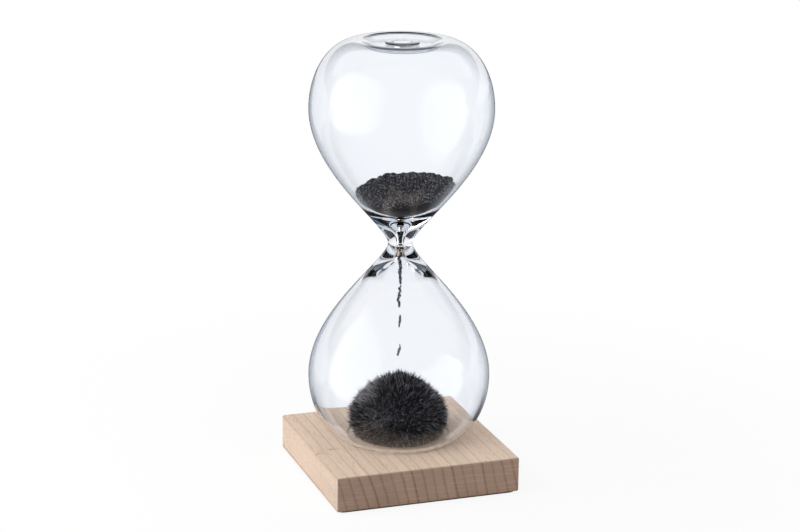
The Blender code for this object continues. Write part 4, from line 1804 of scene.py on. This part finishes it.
    def lay_floor(self) -> None:
        """The floor: pale and lit, with its own white where it is seen, so that only the shadow shows."""
        half = self.floor_half
        corners = np.array([[-half, -half, 0.0], [half, -half, 0.0], [half, half, 0.0], [-half, half, 0.0]])
        mesh = Surface(corners, [np.array([[0, 1, 2, 3]])]).mesh("floor")
        made = bpy.data.objects.new("floor", mesh)
        bpy.context.scene.collection.objects.link(made)
        material = bpy.data.materials.new("white_floor")
        material.use_nodes = True
        tree = material.node_tree
        tree.nodes.remove(tree.nodes["Principled BSDF"])
        patch = NodePatch(tree)
        path = patch.add("LightPath")
        mirrored = self.mirrored(patch, path)
        shade = patch.mix(mirrored, (1.0, 1.0, 1.0), self.paper_shade)
        white = patch.add("Emission", {"Color": shade, "Strength": 1.0})
        point = patch.place()
        paper = patch.math("MULTIPLY", self.sweep(patch, point), path.outputs["Is Transmission Ray"])
        straight = patch.math("MAXIMUM", patch.math("SUBTRACT", 1.0, mirrored), paper)
        away = patch.length(point)
        depth = patch.add("SeparateXYZ", {0: point}).outputs["Y"]
        far = patch.span(depth, -self.far_range[0], -self.far_range[1])
        dim = patch.mix(far, self.floor_mirrored, self.floor_far)
        lit = patch.add("BsdfDiffuse", {"Color": patch.mix(mirrored, self.floor_colour, dim)})
        own = patch.span(away, self.floor_fade * self.floor_reach, self.floor_reach, self.floor_white, 1.0)
        share = patch.math("MULTIPLY", patch.math("MULTIPLY", self.seen(patch, path), straight), own)
        blend = patch.add("MixShader", {0: share, 1: lit.outputs[0], 2: white.outputs[0]})
        beyond = patch.reach(point, self.boxes[0].level_way())
        end, gone = (part * self.table_left for part in self.table_fade)
        open_end = patch.math("MULTIPLY", patch.span(beyond, end, gone), mirrored)
        open_end = patch.math("MULTIPLY", open_end, patch.math("SUBTRACT", 1.0, paper))
        clear = patch.add("BsdfTransparent")
        whole = patch.add("MixShader", {0: open_end, 1: blend.outputs[0], 2: clear.outputs[0]})
        patch.feed(tree.nodes["Material Output"], "Surface", whole.outputs[0])
        mesh.materials.append(material)

    def sweep(self, patch: NodePatch, point: Socket) -> Socket:
        """1 on the paper that the glass shows: the floor from a line behind the object onwards."""
        start, full = (share * self.paper_start for share in self.paper_fade)
        return patch.span(patch.reach(point, self.boxes[-1].level_way()), start, full)

    def build(self) -> None:
        """Builds the world, the floor and the lamps."""
        self.light_world()
        self.lay_floor()
        for lamp in self.lamps:
            lamp.make(Vector(self.lamp_target))
        bpy.context.scene.view_settings.view_transform = "Standard"


@dataclass
class PhotoCamera:
    """The camera, solved from the block's corners and the glass's outline.

    Attributes:
        turn: How far it stands to the left of the front, in degrees.
        stand_pitch: Its height over the target, as an angle in degrees.
        aim_pitch: How far down it looks, in degrees.
        roll: How far it leans, in degrees.
        distance: Distance to the target.
        target: The point that it was solved about.
        focal_pixels: Focal length in pixels of the image.
    """

    turn: float = 19.22
    stand_pitch: float = 16.81
    aim_pitch: float = 16.456
    roll: float = 0.63
    distance: float = 1.0
    target: tuple[float, float, float] = (0.0, 0.0, 0.085)
    focal_pixels: float = 2380.0

    def ahead(self, pitch: float) -> Vector:
        """The direction in which the camera looks at a pitch."""
        turn, down = math.radians(self.turn), math.radians(pitch)
        return Vector((math.sin(turn) * math.cos(down), math.cos(turn) * math.cos(down), -math.sin(down)))

    def build(self) -> None:
        """Makes the camera and gives it to the scene."""
        data = bpy.data.cameras.new("photo_camera")
        data.sensor_width = SENSOR_WIDTH
        data.lens = self.focal_pixels * SENSOR_WIDTH / IMAGE_WIDTH
        made = bpy.data.objects.new("photo_camera", data)
        look = self.ahead(self.aim_pitch)
        right = look.cross(Vector((0.0, 0.0, 1.0))).normalized()
        up = right.cross(look)
        lean = math.radians(self.roll)
        side = math.cos(lean) * right + math.sin(lean) * up
        crown = -math.sin(lean) * right + math.cos(lean) * up
        place = Matrix((side, crown, -look)).transposed().to_4x4()
        place.translation = Vector(self.target) - self.ahead(self.stand_pitch) * self.distance
        made.matrix_world = place
        bpy.context.scene.collection.objects.link(made)
        bpy.context.scene.camera = made


def main() -> None:
    """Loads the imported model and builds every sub-assembly."""
    logging.basicConfig(level=logging.INFO, format="%(name)s: %(message)s")
    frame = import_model()
    PhotoCamera().build()
    Studio().build()
    WoodenBase().build(frame["nodes"])
    low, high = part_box("glass_vessel")
    glass = GlassVessel(waist_z=(low.z + high.z) / 2)
    glass.build(GlassFinish("blown_glass").material())
    iron = FilingsFinish("iron_filings").material()
    UpperPile(glass).build(iron)
    Stream(glass).build(iron)
    SpikyHeap(glass, floor=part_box("filings_heap")[0].z - HEAP_SINK).build(iron)


if __name__ == "__main__":
    main()
